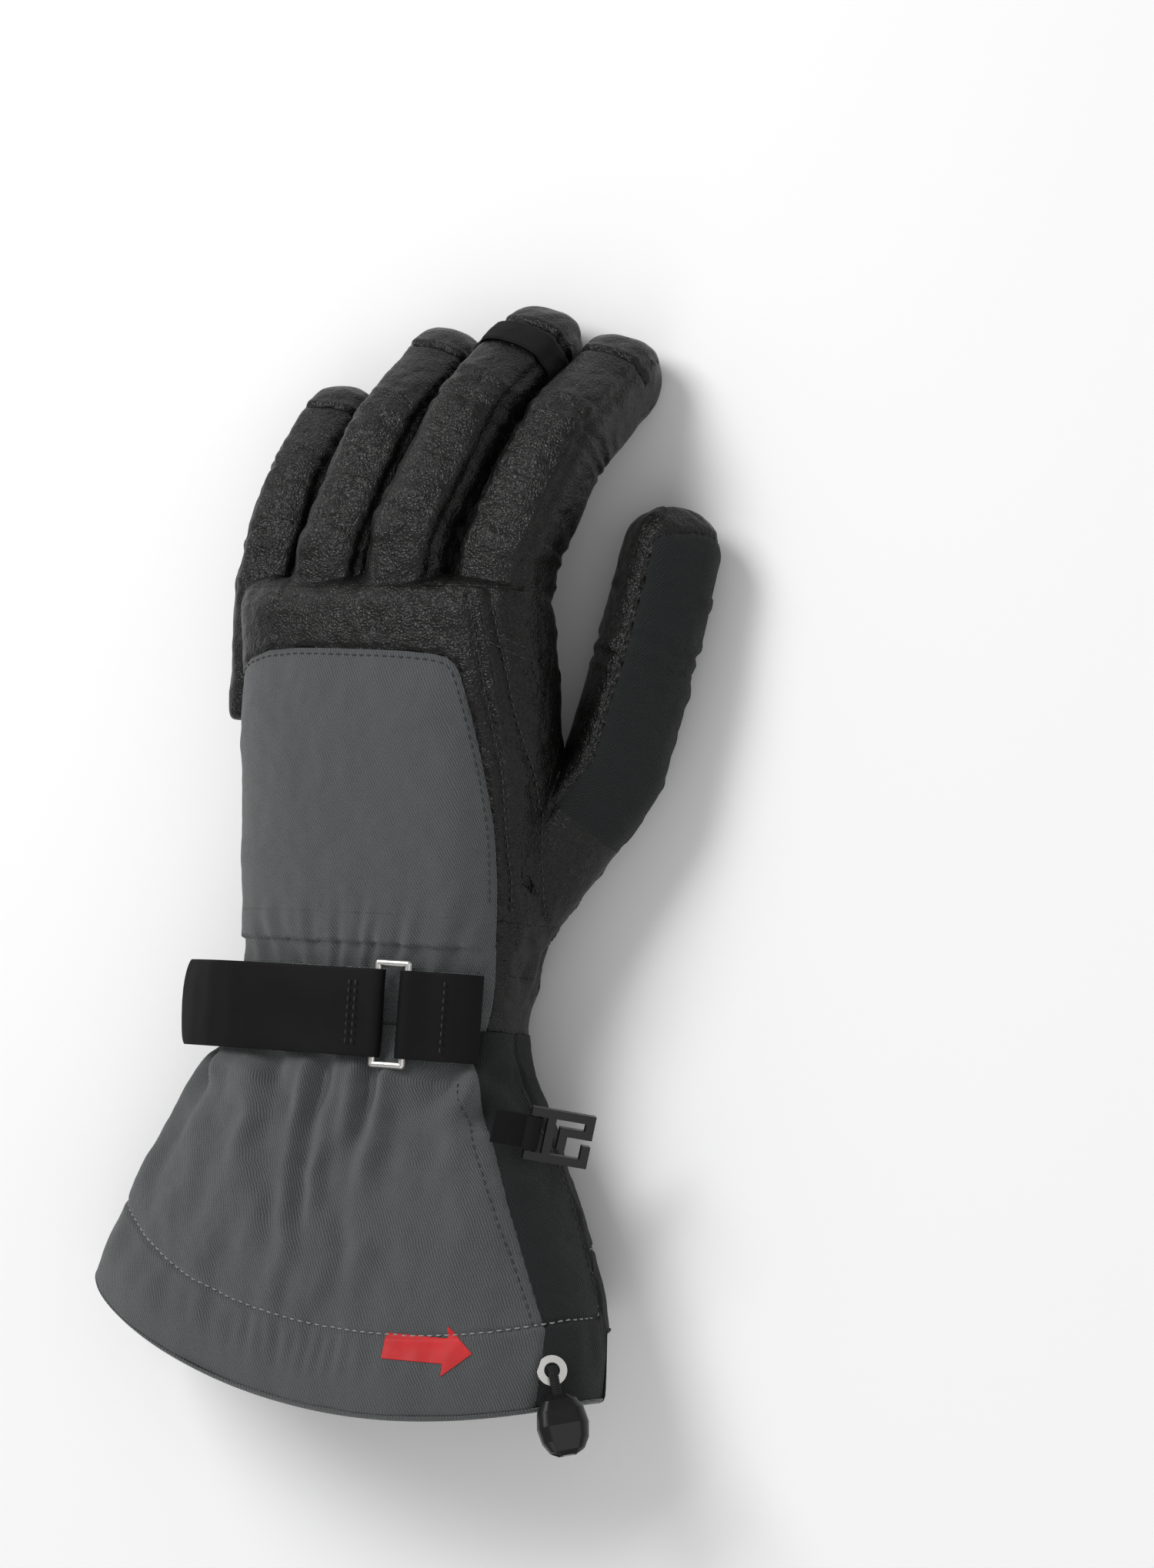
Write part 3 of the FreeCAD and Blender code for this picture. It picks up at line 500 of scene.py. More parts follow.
def remeshed_skin():
    """One closed skin over the hand and all digits: (points, triangles)."""
    blanks = [hand_blank(SKIN_IN)] + [d.blank(SKIN_IN) for d in DIGITS.values()]
    skin = join(blanks, "skin")
    modifier(skin, "REMESH", mode="VOXEL", voxel_size=VOXEL * MM, adaptivity=0.0)
    modifier(skin, "SMOOTH", factor=0.5, iterations=int(5 / VOXEL) + 2)
    modifier(skin, "TRIANGULATE")
    bake_modifiers(skin)
    mesh = skin.data
    co = np.zeros(len(mesh.vertices) * 3)
    mesh.vertices.foreach_get("co", co)
    tris = np.zeros(len(mesh.polygons) * 3, int)
    mesh.polygons.foreach_get("vertices", tris)
    bpy.data.objects.remove(skin)
    return co.reshape(-1, 3) / MM - MOVE, tris.reshape(-1, 3)


def normals_of(verts, tris):
    face = np.cross(verts[tris[:, 1]] - verts[tris[:, 0]], verts[tris[:, 2]] - verts[tris[:, 0]])
    total = np.zeros_like(verts)
    for k in range(3):
        np.add.at(total, tris[:, k], face)
    return total / np.maximum(np.linalg.norm(total, axis=1), 1e-12)[:, None]


def polyline_distance(points, line):
    """Distance of 2-D points from a 2-D polyline."""
    best = np.full(len(points), 1e9)
    for a, b in zip(line[:-1], line[1:]):
        a, b = np.asarray(a, float), np.asarray(b, float)
        t = np.clip(((points - a) @ (b - a)) / ((b - a) @ (b - a)), 0, 1)
        best = np.minimum(best, np.linalg.norm(points - (a + t[:, None] * (b - a)), axis=1))
    return best


def inside(points, polygon):
    """Whether 2-D points are within a polygon."""
    x, y = points[:, 0], points[:, 1]
    result = np.zeros(len(points), bool)
    for (ax, ay), (bx, by) in zip(polygon, polygon[1:] + polygon[:1]):
        crosses = (ay > y) != (by > y)
        result ^= crosses & (x < (bx - ax) * (y - ay) / (by - ay + 1e-12) + ax)
    return result


# outlines on the back of the hand, as seen from above
PANEL = [(-62, -20), (-62, 70), (-46, 84), (-40, 103), (30, 102), (37, 97), (45.5, 58), (45, 30), (38, -20)]
PATCH = [(-30.0, 72.0), (30.0, 72.0), (38.0, 112.0), (-34.0, 112.0)]  # reinforcement of the palm
STRIP = [(49.5, 14), (51, 40), (50.5, 70), (45, 100), (40, 121)]  # channel of the thumb-side strip
THUMB_PANEL = (-0.35, 2.35)  # angles round the thumb between which it is twill, from +right


def rounded(points, passes=2):
    """Cuts the corners of a closed outline."""
    for _ in range(passes):
        points = [
            tuple(np.asarray(a) * (1 - t) + np.asarray(b) * t)
            for a, b in zip(points, points[1:] + points[:1])
            for t in (0.2, 0.8)
        ]
    return points


PANEL = rounded(PANEL)


class Skin:
    """The hand's skin with the numbers that place its seams and folds."""

    def __init__(self):
        self.verts, self.tris = remeshed_skin()
        self.normals = normals_of(self.verts, self.tris)
        self.verts = self.verts + self.normals * SKIN_IN
        v = self.verts
        self.reach = {n: d.nearest(v) for n, d in DIGITS.items()}
        gap = {n: np.hypot(self.reach[n][1] / HALF[n][0], self.reach[n][2] / HALF[n][1]) for n in DIGITS}
        self.digit = np.array(FINGERS)[np.argmin([gap[n] for n in FINGERS], axis=0)]
        thumb = DIGITS["thumb"]
        self.thumb_near = (gap["thumb"] < 1.32) & (self.reach["thumb"][0] > 22) & (v[:, 0] > 44)
        self.panel = np.where(inside(v[:, :2], PANEL), 1, -1) * polyline_distance(v[:, :2], PANEL + PANEL[:1])
        up_side = self.normals[:, 2] > -0.15
        self.panel = np.where(up_side & (v[:, 2] > 28), self.panel, -np.abs(self.panel) - 3)
        self.shape()

    def finger_coords(self):
        """(s from the knuckle's root, side, lift, half width) along whichever finger a point belongs to."""
        s, side, lift, w, left = (np.zeros(len(self.verts)) for _ in range(5))
        for n in FINGERS:
            m = self.digit == n
            s[m], side[m], lift[m] = (a[m] for a in self.reach[n])
            w[m] = HALF[n][0]
            left[m] = DIGITS[n].length - s[m]
        return s, side, lift, w, left

    def shape(self):
        """Moves the skin to make padding, seams, wrinkles and gathers."""
        v, n = self.verts, self.normals
        s, side, lift, w, left = self.finger_coords()
        finger = step(v[:, 1], 112, 128) * ~self.thumb_near
        push = fractal(v, 17.0, 3.1) * 0.55 + fractal(v, 6.5, 8.3, 2) * 0.20
        # seams along each side of the back and of the palm side of a finger
        top = lift > 0
        edge = np.abs(np.abs(side) - w * 0.80)
        seam = bump(edge, 0, 0.85) * (np.abs(lift) > 5)
        push -= finger * seam * np.where(top, 0.75, 0.6)
        push += finger * bump(edge, 1.9, 1.3) * 0.25
        # cap seam across the back, and its folded lip
        cap = bump(left, 15.0, 0.8) * (lift > 2)
        push -= finger * cap * 0.8
        push += finger * bump(left, 13.3, 1.2) * 0.35 * (lift > 2)
        # padding stands up between the joints
        for name in FINGERS:
            d = DIGITS[name]
            m = (self.digit == name) & (v[:, 1] > 116)
            near = bump(s, d.s_middle, 6.5)
            warp = fractal(v[m], 9.0, 5.0 + len(name), 2) * 2.4
            fold = np.cos((s[m] - d.s_middle + warp + side[m] * 0.12) * 2 * math.pi / 5.6)
            push[m] += near[m] * (fold * 0.55 - 0.25) * np.where(lift[m] > 0, 0.75, 1.0)
            base = bump(s, d.s_knuckle + 3, 9.0)
            fold = np.cos((s[m] - d.s_knuckle + warp * 1.3 - side[m] * 0.1) * 2 * math.pi / 8.0)
            push[m] += base[m] * fold * 0.42
        # the thumb: seam round its twill panel, creases at its joint
        d = DIGITS["thumb"]
        ts, tside, tlift = self.reach["thumb"]
        m = self.thumb_near
        around = np.arctan2(tlift / d.half[1], tside / d.half[0])
        self.around = around
        self.thumb_panel = self.thumb_field(ts, around)
        push[m] -= bump(self.thumb_panel[m], 0, 0.9) * 0.8
        warp = fractal(v[m], 8.0, 11.0, 2) * 2.2
        push[m] += bump(ts[m], d.s_middle, 8.0) * np.cos((ts[m] + warp) * 2 * math.pi / 6.0) * 0.45
        # back panel: sunk seam and flat padding
        on_back = v[:, 1] > 20
        push -= bump(self.panel, 0, 0.85) * 0.85 * on_back
        push += step(self.panel, 1, 12) * 1.3 * on_back
        # thumb-side channel: two rows of stitching sink a groove each side of a soft ridge
        strip = polyline_distance(v[:, :2], STRIP)
        upper = (v[:, 2] > SEAM_Z) & ~m & (v[:, 1] < 120)
        push[upper] += (bump(strip, 0, 1.6) * 0.5 - bump(strip, 3.0, 0.8) * 0.6)[upper]
        # seam between the back and the palm side
        side_seam = np.abs(v[:, 2] - (SEAM_Z + 8 + (v[:, 1] - 28) * 0.12))
        push -= bump(side_seam, 0, 0.9) * 0.6 * ((v[:, 0] < -30) & (v[:, 1] < 116))
        # palm creases
        palm = n[:, 2] < -0.4
        warp = fractal(v, 15.0, 2.0, 2) * 5
        push += palm * np.cos((v[:, 1] + v[:, 0] * 0.45 + warp) * 2 * math.pi / 15.0) * 0.45 * (v[:, 1] < 125)
        # gathers at the wrist: narrow folds that run along the arm, strongest between strap and hand
        cx = np.interp(v[:, 1], HAND_ROWS[:, 0], HAND_ROWS[:, 1])
        turn = np.arctan2(v[:, 2] - 25, v[:, 0] - cx)
        gather = bump(v[:, 1], 19, 11)
        ripples = np.cos(turn * 26 + fractal(v, 24.0, 6.0, 2) * 2.6) * 0.7 + np.cos(turn * 43 + 1.0) * 0.3
        push += gather * ripples * np.where(palm, 1.1, 0.6)
        self.verts = v + n * push[:, None]
        self.normals = normals_of(self.verts, self.tris)

    def thumb_field(self, s, around):
        """Distance in mm into the thumb's twill panel."""
        d = DIGITS["thumb"]
        low, high = THUMB_PANEL
        middle, half = (low + high) / 2, (high - low) / 2
        turn = np.abs((around - middle + math.pi) % (2 * math.pi) - math.pi)
        radius = 13.0
        start = 20.0 + 9.0 * (turn / half) ** 2
        end = d.length - 5.5 - 6.0 * (turn / half) ** 2
        return np.minimum(np.minimum((half - turn) * radius, s - start), end - s)

    def flat(self, verts):
        """Coordinates over the cloth, in mm, for the weave."""
        cx = np.interp(verts[:, 1], HAND_ROWS[:, 0], HAND_ROWS[:, 1])
        cz = np.interp(verts[:, 1], HAND_ROWS[:, 0], HAND_ROWS[:, 2])
        turn = np.arctan2(verts[:, 2] - cz, verts[:, 0] - cx) - math.pi / 2
        flat_x = verts[:, 0] + np.sign(verts[:, 0]) * np.clip(np.abs(turn) - 0.9, 0, 2) * 22
        return np.stack([flat_x, verts[:, 1], np.zeros(len(verts))], 1)


def cut_by(verts, tris, values, *extras):
    """Cuts triangles where values cross zero. Returns (verts, extras, triangles above, triangles below)."""
    values = np.where(np.abs(values) < 1e-6, 1e-6, values)
    above = values > 0
    count = above[tris].sum(1)
    whole_up, whole_down = tris[count == 3], tris[count == 0]
    mixed = tris[(count == 1) | (count == 2)]
    made, new_rows, ups, downs = {}, [], [], []
    first_new = len(verts)

    def crossing(a, b):
        key = (a, b) if a < b else (b, a)
        if key not in made:
            made[key] = first_new + len(new_rows)
            new_rows.append((key[0], key[1], values[key[0]] / (values[key[0]] - values[key[1]])))
        return made[key]

    for tri in mixed:
        flags = above[tri]
        lone = int(np.argmax(flags)) if flags.sum() == 1 else int(np.argmin(flags))
        a, b, c = (int(tri[(lone + k) % 3]) for k in range(3))
        ab, ac = crossing(a, b), crossing(a, c)
        single, double = (ups, downs) if flags.sum() == 1 else (downs, ups)
        single.append((a, ab, ac))
        double += [(ab, b, c), (ab, c, ac)]

    def extend(rows):
        if not new_rows:
            return rows
        i, j, t = (np.array(col) for col in zip(*new_rows))
        t = t.reshape(-1, *[1] * (rows.ndim - 1))
        return np.concatenate([rows, rows[i.astype(int)] * (1 - t) + rows[j.astype(int)] * t])

    def merge(whole, cut):
        return np.concatenate([whole, np.array(cut, int).reshape(-1, 3)])

    return extend(verts), [extend(e) for e in extras], merge(whole_up, ups), merge(whole_down, downs)


# ------------------------------------------------------------------ pieces


def piece(name, verts, tris, material, thickness=1.1, flat=None, bodies="hand", span=None):
    """Sewn panel: keeps the used vertices, thickens them inwards and puts the panel on its body; given several bodies,
    it is only baked in place.
    """
    if len(tris) == 0:
        return None
    used, index = np.unique(tris, return_inverse=True)
    obj = make_mesh(name, verts[used], index.reshape(-1, 3), material)
    if flat is not None:
        set_flat(obj, np.asarray(flat)[used])
    if thickness:
        modifier(obj, "SOLIDIFY", thickness=thickness * MM, offset=-1.0, use_rim=True)
        bake_modifiers(obj)
        obj.data.polygons.foreach_set("use_smooth", [True] * len(obj.data.polygons))
    attach(obj, bodies)
    return obj


def attach(obj, bodies):
    if isinstance(bodies, str):
        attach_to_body(obj, bodies)
    else:
        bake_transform(obj)


def across(joint_point, way, reach):
    way = unit(way)
    return joint_point - way * reach, joint_point + way * reach


def digit_zones(name):
    """Bodies, and a span across the joint, for the base and the tip part of a digit."""
    d = DIGITS[name]
    near = unit(d.middle - d.knuckle)
    forward = unit(near + [0, 0.35, 0]) if name != "thumb" else near
    base = (("hand", name + "_near"), across(d.knuckle, forward, 12 if name != "thumb" else 14))
    tip = ((name + "_near", name + "_far"), across(d.middle, unit(d.tip - d.knuckle), 10))
    return base, tip


def tube_along(points, radius, sides=10, closed=False):
    """(verts, faces) of a round tube along points."""
    points = np.asarray(points, float)
    way = np.gradient(points, axis=0)
    way /= np.linalg.norm(way, axis=1)[:, None]
    side = np.cross(way, [0.02, 0.13, 1.0])
    side /= np.linalg.norm(side, axis=1)[:, None]
    lift = np.cross(side, way)
    angle = np.linspace(0, 2 * math.pi, sides, endpoint=False)
    radius = np.broadcast_to(radius, len(points))
    spokes = np.cos(angle)[None, :, None] * side[:, None] + np.sin(angle)[None, :, None] * lift[:, None]
    ring = points[:, None] + spokes * radius[:, None, None]
    faces = grid_faces(len(points), sides)
    faces += [tuple(range(sides))[::-1], tuple(range((len(points) - 1) * sides, len(points) * sides))]
    return ring.reshape(-1, 3), faces


def resample(points, pitch):
    points = np.asarray(points, float)
    s = np.r_[0, np.cumsum(np.linalg.norm(np.diff(points, axis=0), axis=1))]
    count = max(int(s[-1] / pitch), 1)
    t = np.linspace(0, s[-1], count * 2 + 1)
    return np.stack([np.interp(t, s, points[:, k]) for k in range(3)], 1), count


def stitches(name, lines, normals_at, pitch=2.7, radius=0.24, material=None, bodies="hand", span=None):
    """A row of separate thread stitches along each line that lies on the skin."""
    fill, sink = 0.68, 0.05  # share of the pitch that a stitch takes up, and how deep its ends go
    verts, faces = [], []
    for line in lines:
        spots, count = resample(line, pitch)
        for k in range(count):
            a, b = spots[2 * k], spots[2 * k + 2]
            middle, way = (a + b) / 2, b - a
            if np.linalg.norm(way) < 0.4 * pitch:
                continue
            t = np.linspace(-0.5, 0.5, 7)
            arch = np.cos(t * math.pi * 0.98)
            points = middle + way * t[:, None] * fill + normals_at(middle) * (arch[:, None] * radius * 1.5 - sink)
            tube, quads = tube_along(points, radius * (0.35 + 0.65 * arch), 6)
            base = sum(len(v) for v in verts)
            verts.append(tube)
            faces += [tuple(i + base for i in q) for q in quads]
    if not verts:
        return None
    obj = make_mesh(name, np.concatenate(verts), faces, material or THREAD)
    attach(obj, bodies)
    return obj


class Surface:
    """Nearest-point look-ups on a mesh, in the drawing frame."""

    def __init__(self, verts, tris):
        self.tree = BVHTree.FromPolygons([tuple(v) for v in verts], [tuple(int(i) for i in t) for t in tris])

    def drop(self, x, y, z=120.0, down=-1.0):
        hit = self.tree.ray_cast(Vector((x, y, z)), Vector((0, 0, down)))
        return None if hit[0] is None else np.array(hit[0])

    def out_from(self, centre, way, reach=60.0):
        """Last hit outwards from a centre, found from outside. reach has to be past the surface there."""
        hit = self.tree.ray_cast(Vector(centre + way * reach), Vector(-way))
        return None if hit[0] is None else np.array(hit[0])

    def normal(self, point):
        _, normal, _, _ = self.tree.find_nearest(Vector(point))
        return np.array(normal)

    def lay(self, outline, z=120.0, down=-1.0, pitch=1.0):
        """A polyline seen from above, laid on the surface."""
        fine, _ = resample([(x, y, 0) for x, y in outline], pitch)
        points = [self.drop(p[0], p[1], z, down) for p in fine]
        return np.array([p for p in points if p is not None])


def offset_line(line, amount):
    """A 2-D polyline moved sideways."""
    line = np.asarray(line, float)
    way = np.gradient(line, axis=0)
    way /= np.linalg.norm(way, axis=1)[:, None]
    return line + np.stack([-way[:, 1], way[:, 0]], 1) * amount


def build_hand(skin):
    """Cuts the skin into its sewn panels and puts each on its body."""
    v, t = skin.verts, skin.tris
    fields = [skin.panel, skin.thumb_panel, skin.thumb_near.astype(float) - 0.5, skin.reach["thumb"][0]]
    fields += [skin.reach[n][0] for n in FINGERS] + [skin.digit == n for n in FINGERS]
    fields = [np.asarray(f, float) for f in fields]

    # zones along the arm: inside the strap, gathers, hand, then digits
    v, fields, hand, wrist = cut_by(v, t, v[:, 1] - 28.0, *fields)
    v, fields, wrist, under = cut_by(v, wrist, v[:, 1] - 13.0, *fields)
    thumb_s = fields[3]
    split = DIGITS["thumb"].s_knuckle - 15.0
    thumb_value = np.where(fields[2] > 0, thumb_s - split, -5.0)
    v, fields, thumb, hand = cut_by(v, hand, thumb_value, *fields)
    v, fields, fingers, hand = cut_by(v, hand, v[:, 1] - 121.0, *fields)

    # hand panels
    v, fields, twill_tris, leather_tris = cut_by(v, hand, fields[0], *fields)
    flat = skin.flat(v)
    panel = piece("hand_back_twill", v, twill_tris, GREY, 1.2, flat)
    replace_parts(panel, "hand_back_panel")
    strip_side = v[:, 0] - np.interp(v[:, 1], [p[1] for p in STRIP], [p[0] for p in STRIP])
    v, fields, side_tris, rest = cut_by(v, leather_tris, strip_side, *fields)
    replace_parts(piece("hand_thumb_side_leather", v, side_tris, LEATHER), "thumb_side_panel")
    seam = v[:, 2] - (SEAM_Z + 8 + (v[:, 1] - 28) * 0.12)
    v, fields, back, palm = cut_by(v, rest, seam, *fields)
    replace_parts(piece("hand_back_leather_skin", v, back, LEATHER), "hand_back_leather")
    patch_field = np.where(inside(v[:, :2], PATCH), 1, -1) * polyline_distance(v[:, :2], PATCH + PATCH[:1])
    v, fields, patch, palm = cut_by(v, palm, patch_field, *fields)
    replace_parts(piece("hand_palm_leather", v, palm, LEATHER), "palm_leather", "hand_liner")
    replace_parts(piece("hand_palm_patch", v, patch, LEATHER, 1.6), "palm_patch")

    # gathers between strap and hand, and what the strap covers
    bend = ((0, 13.5, 27), (0, 27.5, 27))
    low, (flat,), cloth, hide = cut_by(v, wrist, fields[0], skin.flat(v))
    gathered = piece("wrist_gathered_leather", low, hide, LEATHER, 1.0, None, ("cuff", "hand"), bend)
    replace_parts(gathered, "wrist_gathers", "wrist_elastic")
    gathered = piece("wrist_gathered_twill", low, cloth, GREY, 1.0, flat, ("cuff", "hand"), bend)
    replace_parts(gathered, "wrist_gathers")
    low, (flat,), cloth, hide = cut_by(v, under, fields[0], skin.flat(v))
    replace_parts(piece("wrist_band_leather", low, hide, LEATHER, 1.0, None, "cuff"), "wrist_band_palm")
    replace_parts(piece("wrist_band_twill", low, cloth, GREY, 1.0, flat, "cuff"), "wrist_band_back")

    # thumb
    base, tip = digit_zones("thumb")
    cut = (DIGITS["thumb"].s_knuckle + DIGITS["thumb"].s_middle) / 2
    v, fields, far, near = cut_by(v, thumb, fields[3] - cut, *fields)
    flat_thumb = np.stack([skin_turn(v, "thumb") * 13.0, DIGITS["thumb"].nearest(v)[0], np.zeros(len(v))], 1)
    for label, tris, (bodies, span), nodes in (
        ("near", near, base, ("thumb_near_back", "thumb_near_palm", "thumb_base_sleeve")),
        ("far", far, tip, ("thumb_far_back", "thumb_far_palm", "thumb_middle_sleeve", "thumb_liner")),
    ):
        v2, fields2, cloth, hide = cut_by(v, tris, fields[1], flat_thumb)
        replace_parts(piece(f"thumb_{label}_twill", v2, cloth, BLACK, 1.1, fields2[0], bodies, span), nodes[0])
        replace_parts(piece(f"thumb_{label}_leather", v2, hide, LEATHER, 1.1, None, bodies, span), *nodes[1:])

    # fingers
    points = v[fingers].mean(1)
    away = []
    for name in FINGERS:
        d = DIGITS[name]
        _, side, lift = d.nearest(points)
        away.append(np.hypot(side / d.half[0], lift / d.half[1]))
    owner = np.argmin(away, axis=0)
    for k, name in enumerate(FINGERS):
        d = DIGITS[name]
        mine = fingers[owner == k]
        s = d.nearest(v)[0]
        middle = (d.s_knuckle + d.s_middle) / 2
        v2, (s2,), far, near = cut_by(v, mine, s - middle, s)
        base, tip = digit_zones(name)
        shell = piece(f"{name}_near_leather", v2, near, LEATHER, 1.1, None, *base)
        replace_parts(shell, f"{name}_knuckle_sleeve", f"{name}_near_shell")
        v3, _, cap, rest = cut_by(v2, far, s2 - d.s_cap)
        shell = piece(f"{name}_far_leather", v3, rest, LEATHER, 1.1, None, *tip)
        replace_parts(shell, f"{name}_middle_sleeve", f"{name}_far_shell", f"{name}_liner")
        shell = piece(f"{name}_cap_leather", v3, cap, LEATHER, 1.1, None, f"{name}_far")
        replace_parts(shell, f"{name}_tip_cap")


def skin_turn(verts, name):
    d = DIGITS[name]
    _, side, lift = d.nearest(verts)
    return np.arctan2(lift / d.half[1], side / d.half[0])


def hand_stitching(skin):
    surface = Surface(skin.verts, skin.tris)
    outline = np.array(PANEL + PANEL[:1])
    ring = offset_line(outline, -1.7)
    ring = [p for p in ring if p[1] > 29]
    start = int(np.argmax([np.hypot(*(np.subtract(a, b))) for a, b in zip(ring, ring[1:] + ring[:1])])) + 1
    ring = ring[start:] + ring[:start]
    stitches("stitch_back_panel", [surface.lay(ring)], surface.normal, 2.6, 0.2)
    strip = [p for p in resample([(*p, 0) for p in STRIP], 3.0)[0][:, :2] if 30 < p[1] < 117]
    lines = [surface.lay(offset_line(strip, a)) for a in (-3.0, 3.0)]
    stitches("stitch_thumb_strip", lines, surface.normal, 2.6, 0.24)
    cross = [surface.lay([(44.0, 107 + a), (52.5, 103 + a)]) for a in (-1.6, 1.6)]
    stitches("stitch_strip_cross", cross, surface.normal, 2.2, 0.22)
    d = DIGITS["thumb"]
    base, tip = digit_zones("thumb")
    cut = (d.s_knuckle + d.s_middle) / 2
    for label, low, high, zone in (("near", 16.0, cut, base), ("far", cut, d.length - 12, tip)):
        lines = []
        for angle in (THUMB_PANEL[0] - 0.13, THUMB_PANEL[1] + 0.13):
            line = []
            for s in np.arange(max(low, d.s_knuckle - 6), high, 1.0):
                centre, _, right, up = (a[0] for a in d.at(np.array([s])))
                x, z = section(np.array([angle]), *d.half)
                hit = surface.out_from(centre, unit(right * x[0] + up * z[0]))
                if hit is not None and np.linalg.norm(hit - centre) < 22:
                    line.append(hit)
            if len(line) > 4:
                lines.append(np.array(line))
        stitches(f"stitch_thumb_{label}", lines, surface.normal, 2.6, 0.22, None, *zone)


def ribbed_band(skin):
    """The ribbed band across the back of the middle finger."""
    d = DIGITS["middle"]
    surface = Surface(skin.verts, skin.tris)
    rows, verts, flat = 14, [], []
    angles = np.linspace(0.12, math.pi - 0.12, 34)
    for i, s in enumerate(np.linspace(d.length - 27.0, d.length - 17.5, rows)):
        centre, _, right, up = (a[0] for a in d.at(np.array([s])))
        for a in angles:
            x, z = section(np.array([a]), *d.half)
            way = unit(right * x[0] + up * z[0])
            hit, reach = surface.out_from(centre, way), math.hypot(x[0], z[0])
            if hit is None or np.linalg.norm(hit - centre) > reach + 0.8:  # past this finger, on its neighbour
                hit = centre + way * reach
            edge = 0.35 if 0 < i < rows - 1 else 0.0
            verts.append(hit + way * (0.35 + edge))
            flat.append((s, a * 12.0, 0))
    quads = grid_faces(rows, len(angles), False)
    tris = np.array([t for a, b, c, e in quads for t in ((a, c, b), (a, e, c))])
    band = piece("middle_ribbed_band", np.array(verts), tris[:, ::-1], WEBBING, 0.5, flat, "middle_far")
    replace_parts(band, "middle_pull_band")


# ------------------------------------------------------------------ cuff


def cuff_point(u, y, inset=0.0):
    """x and z of the cuff's outline at an angle u and station y, before folds."""
    cx, cz, w, h = look_up(CUFF_ROWS, y)
    x, z = section(u, w - inset, h - inset)
    return cx + x, cz + z


def hem_y(u):
    """Where the hem's edge is, at an angle round the cuff: bowed on the back, straight under the palm side."""
    cx, cz = cuff_point(u, np.full_like(u, -90.0))
    back = HEM_LOW[1] + HEM_BOW_R - np.sqrt(HEM_BOW_R**2 - (cx - HEM_LOW[0]) ** 2)
    side = step(cz, SEAM_Z - 2, SEAM_Z + 4)
    return HEM_PALM_Y * (1 - side) + back * side


def cuff_push(u, y, x, z):
    """Folds of the cuff: deep ones that run up from the wrist, and a soft swell."""
    points = np.stack([x, y, z], 1)
    warp = fractal(points, 38.0, 4.0, 3)
    top = step(z, 22, 34)
    fold = np.cos(u * 13 + warp * 3.2) * 0.8 + np.cos(u * 23 + warp * 2.0 + 1.4) * 0.35
    near_wrist = np.exp(-np.clip(-14 - y, 0, None) / 34.0) * step(-y, 9, 20)
    push = near_wrist * fold * (3.6 * top + 1.2 * (1 - top))
    push += warp * 2.4 * step(-y, 22, 55) * (0.35 + 0.65 * top)
    push += fractal(points, 11.0, 9.0, 3) * 0.42
    return np.clip(push, -2.6, 4.6) * (0.35 + 0.65 * step(z, 3.0, 9.0))


def build_cuff():
    """Outer panels with their folds, the turned hem, and the lining."""
    rings, around = ((210, 720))
    t = np.linspace(0, 1, rings)
    u = np.linspace(0, 2 * math.pi, around, endpoint=False)
    edge = hem_y(u)
    yy = CUFF_TOP_Y + (edge[None, :] - CUFF_TOP_Y) * t[:, None]
    uu = np.broadcast_to(u, yy.shape)
    x, z = cuff_point(uu, yy)
    flat_points = np.stack([x, yy, z], -1).reshape(-1, 3)
    push = cuff_push(uu.ravel(), yy.ravel(), flat_points[:, 0], flat_points[:, 2])
    from_edge = (yy - edge[None, :]).ravel()
    push = push * (0.45 + 0.55 * step(from_edge, 6, 26))
    push -= bump(from_edge, HEM_DEPTH, 0.8) * 0.75  # stitching of the hem
    push += bump(from_edge, HEM_DEPTH * 0.45, 6.0) * 0.9  # cord in the hem
    ripple = np.cos(uu.ravel() * 46 + fractal(flat_points, 30, 2.0, 2) * 3) * bump(from_edge, 15, 6)
    push += ripple * 0.22
    gusset_x = np.interp(-flat_points[:, 1], [-GUSSET[0][0], -GUSSET[1][0]], [GUSSET[0][1], GUSSET[1][1]])
    gusset = flat_points[:, 0] - gusset_x
    seam_height = flat_points[:, 2] - SEAM_Z
    upper = flat_points[:, 2] > SEAM_Z
    push -= bump(gusset, 0, 0.9) * 0.8 * upper
    push -= bump(seam_height, 0, 0.9) * 0.8
    normal = np.stack([np.cos(uu.ravel()), np.zeros(rings * around), np.sin(uu.ravel())], 1)
    tris = grid_triangles(rings, around)
    real = -normals_of(flat_points, tris)
    real = np.where((real * normal).sum(1)[:, None] < 0, -real, real)
    verts = flat_points + real * push[:, None]
    verts[:, 2] = np.maximum(verts[:, 2], 0.15)
    if (normals_of(verts, tris) * real).sum() < 0:
        tris = tris[:, ::-1]
    rows = verts.reshape(rings, around, 3)
    width = np.linalg.norm(np.diff(rows, axis=1, append=rows[:, :1]), axis=2)
    arc = np.concatenate([np.zeros((rings, 1)), np.cumsum(width, axis=1)[:, :-1]], 1)
    quarter = around // 4
    flat = np.stack([(arc - arc[:, quarter : quarter + 1]).ravel() * -1, yy.ravel(), np.zeros(rings * around)], 1)
    surface = Surface(verts, tris)

    v, (flat, gusset), back_all, palm = cut_by(verts, tris, seam_height, flat, gusset)
    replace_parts(piece("cuff_palm_twill", v, palm, BLACK, 1.0, flat, "cuff"), "cuff_palm_panel")
    v, (flat,), side, back = cut_by(v, back_all, gusset, flat)
    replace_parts(piece("cuff_back_twill", v, back, GREY, 1.0, flat, "cuff"), "cuff_back_panel")
    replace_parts(piece("cuff_gusset_twill", v, side, BLACK, 1.0, flat, "cuff"), "cuff_gusset")
    hem_edge(u, edge)
    cuff_lining(u, edge)
    cuff_stitching(surface, u, edge)
    return surface


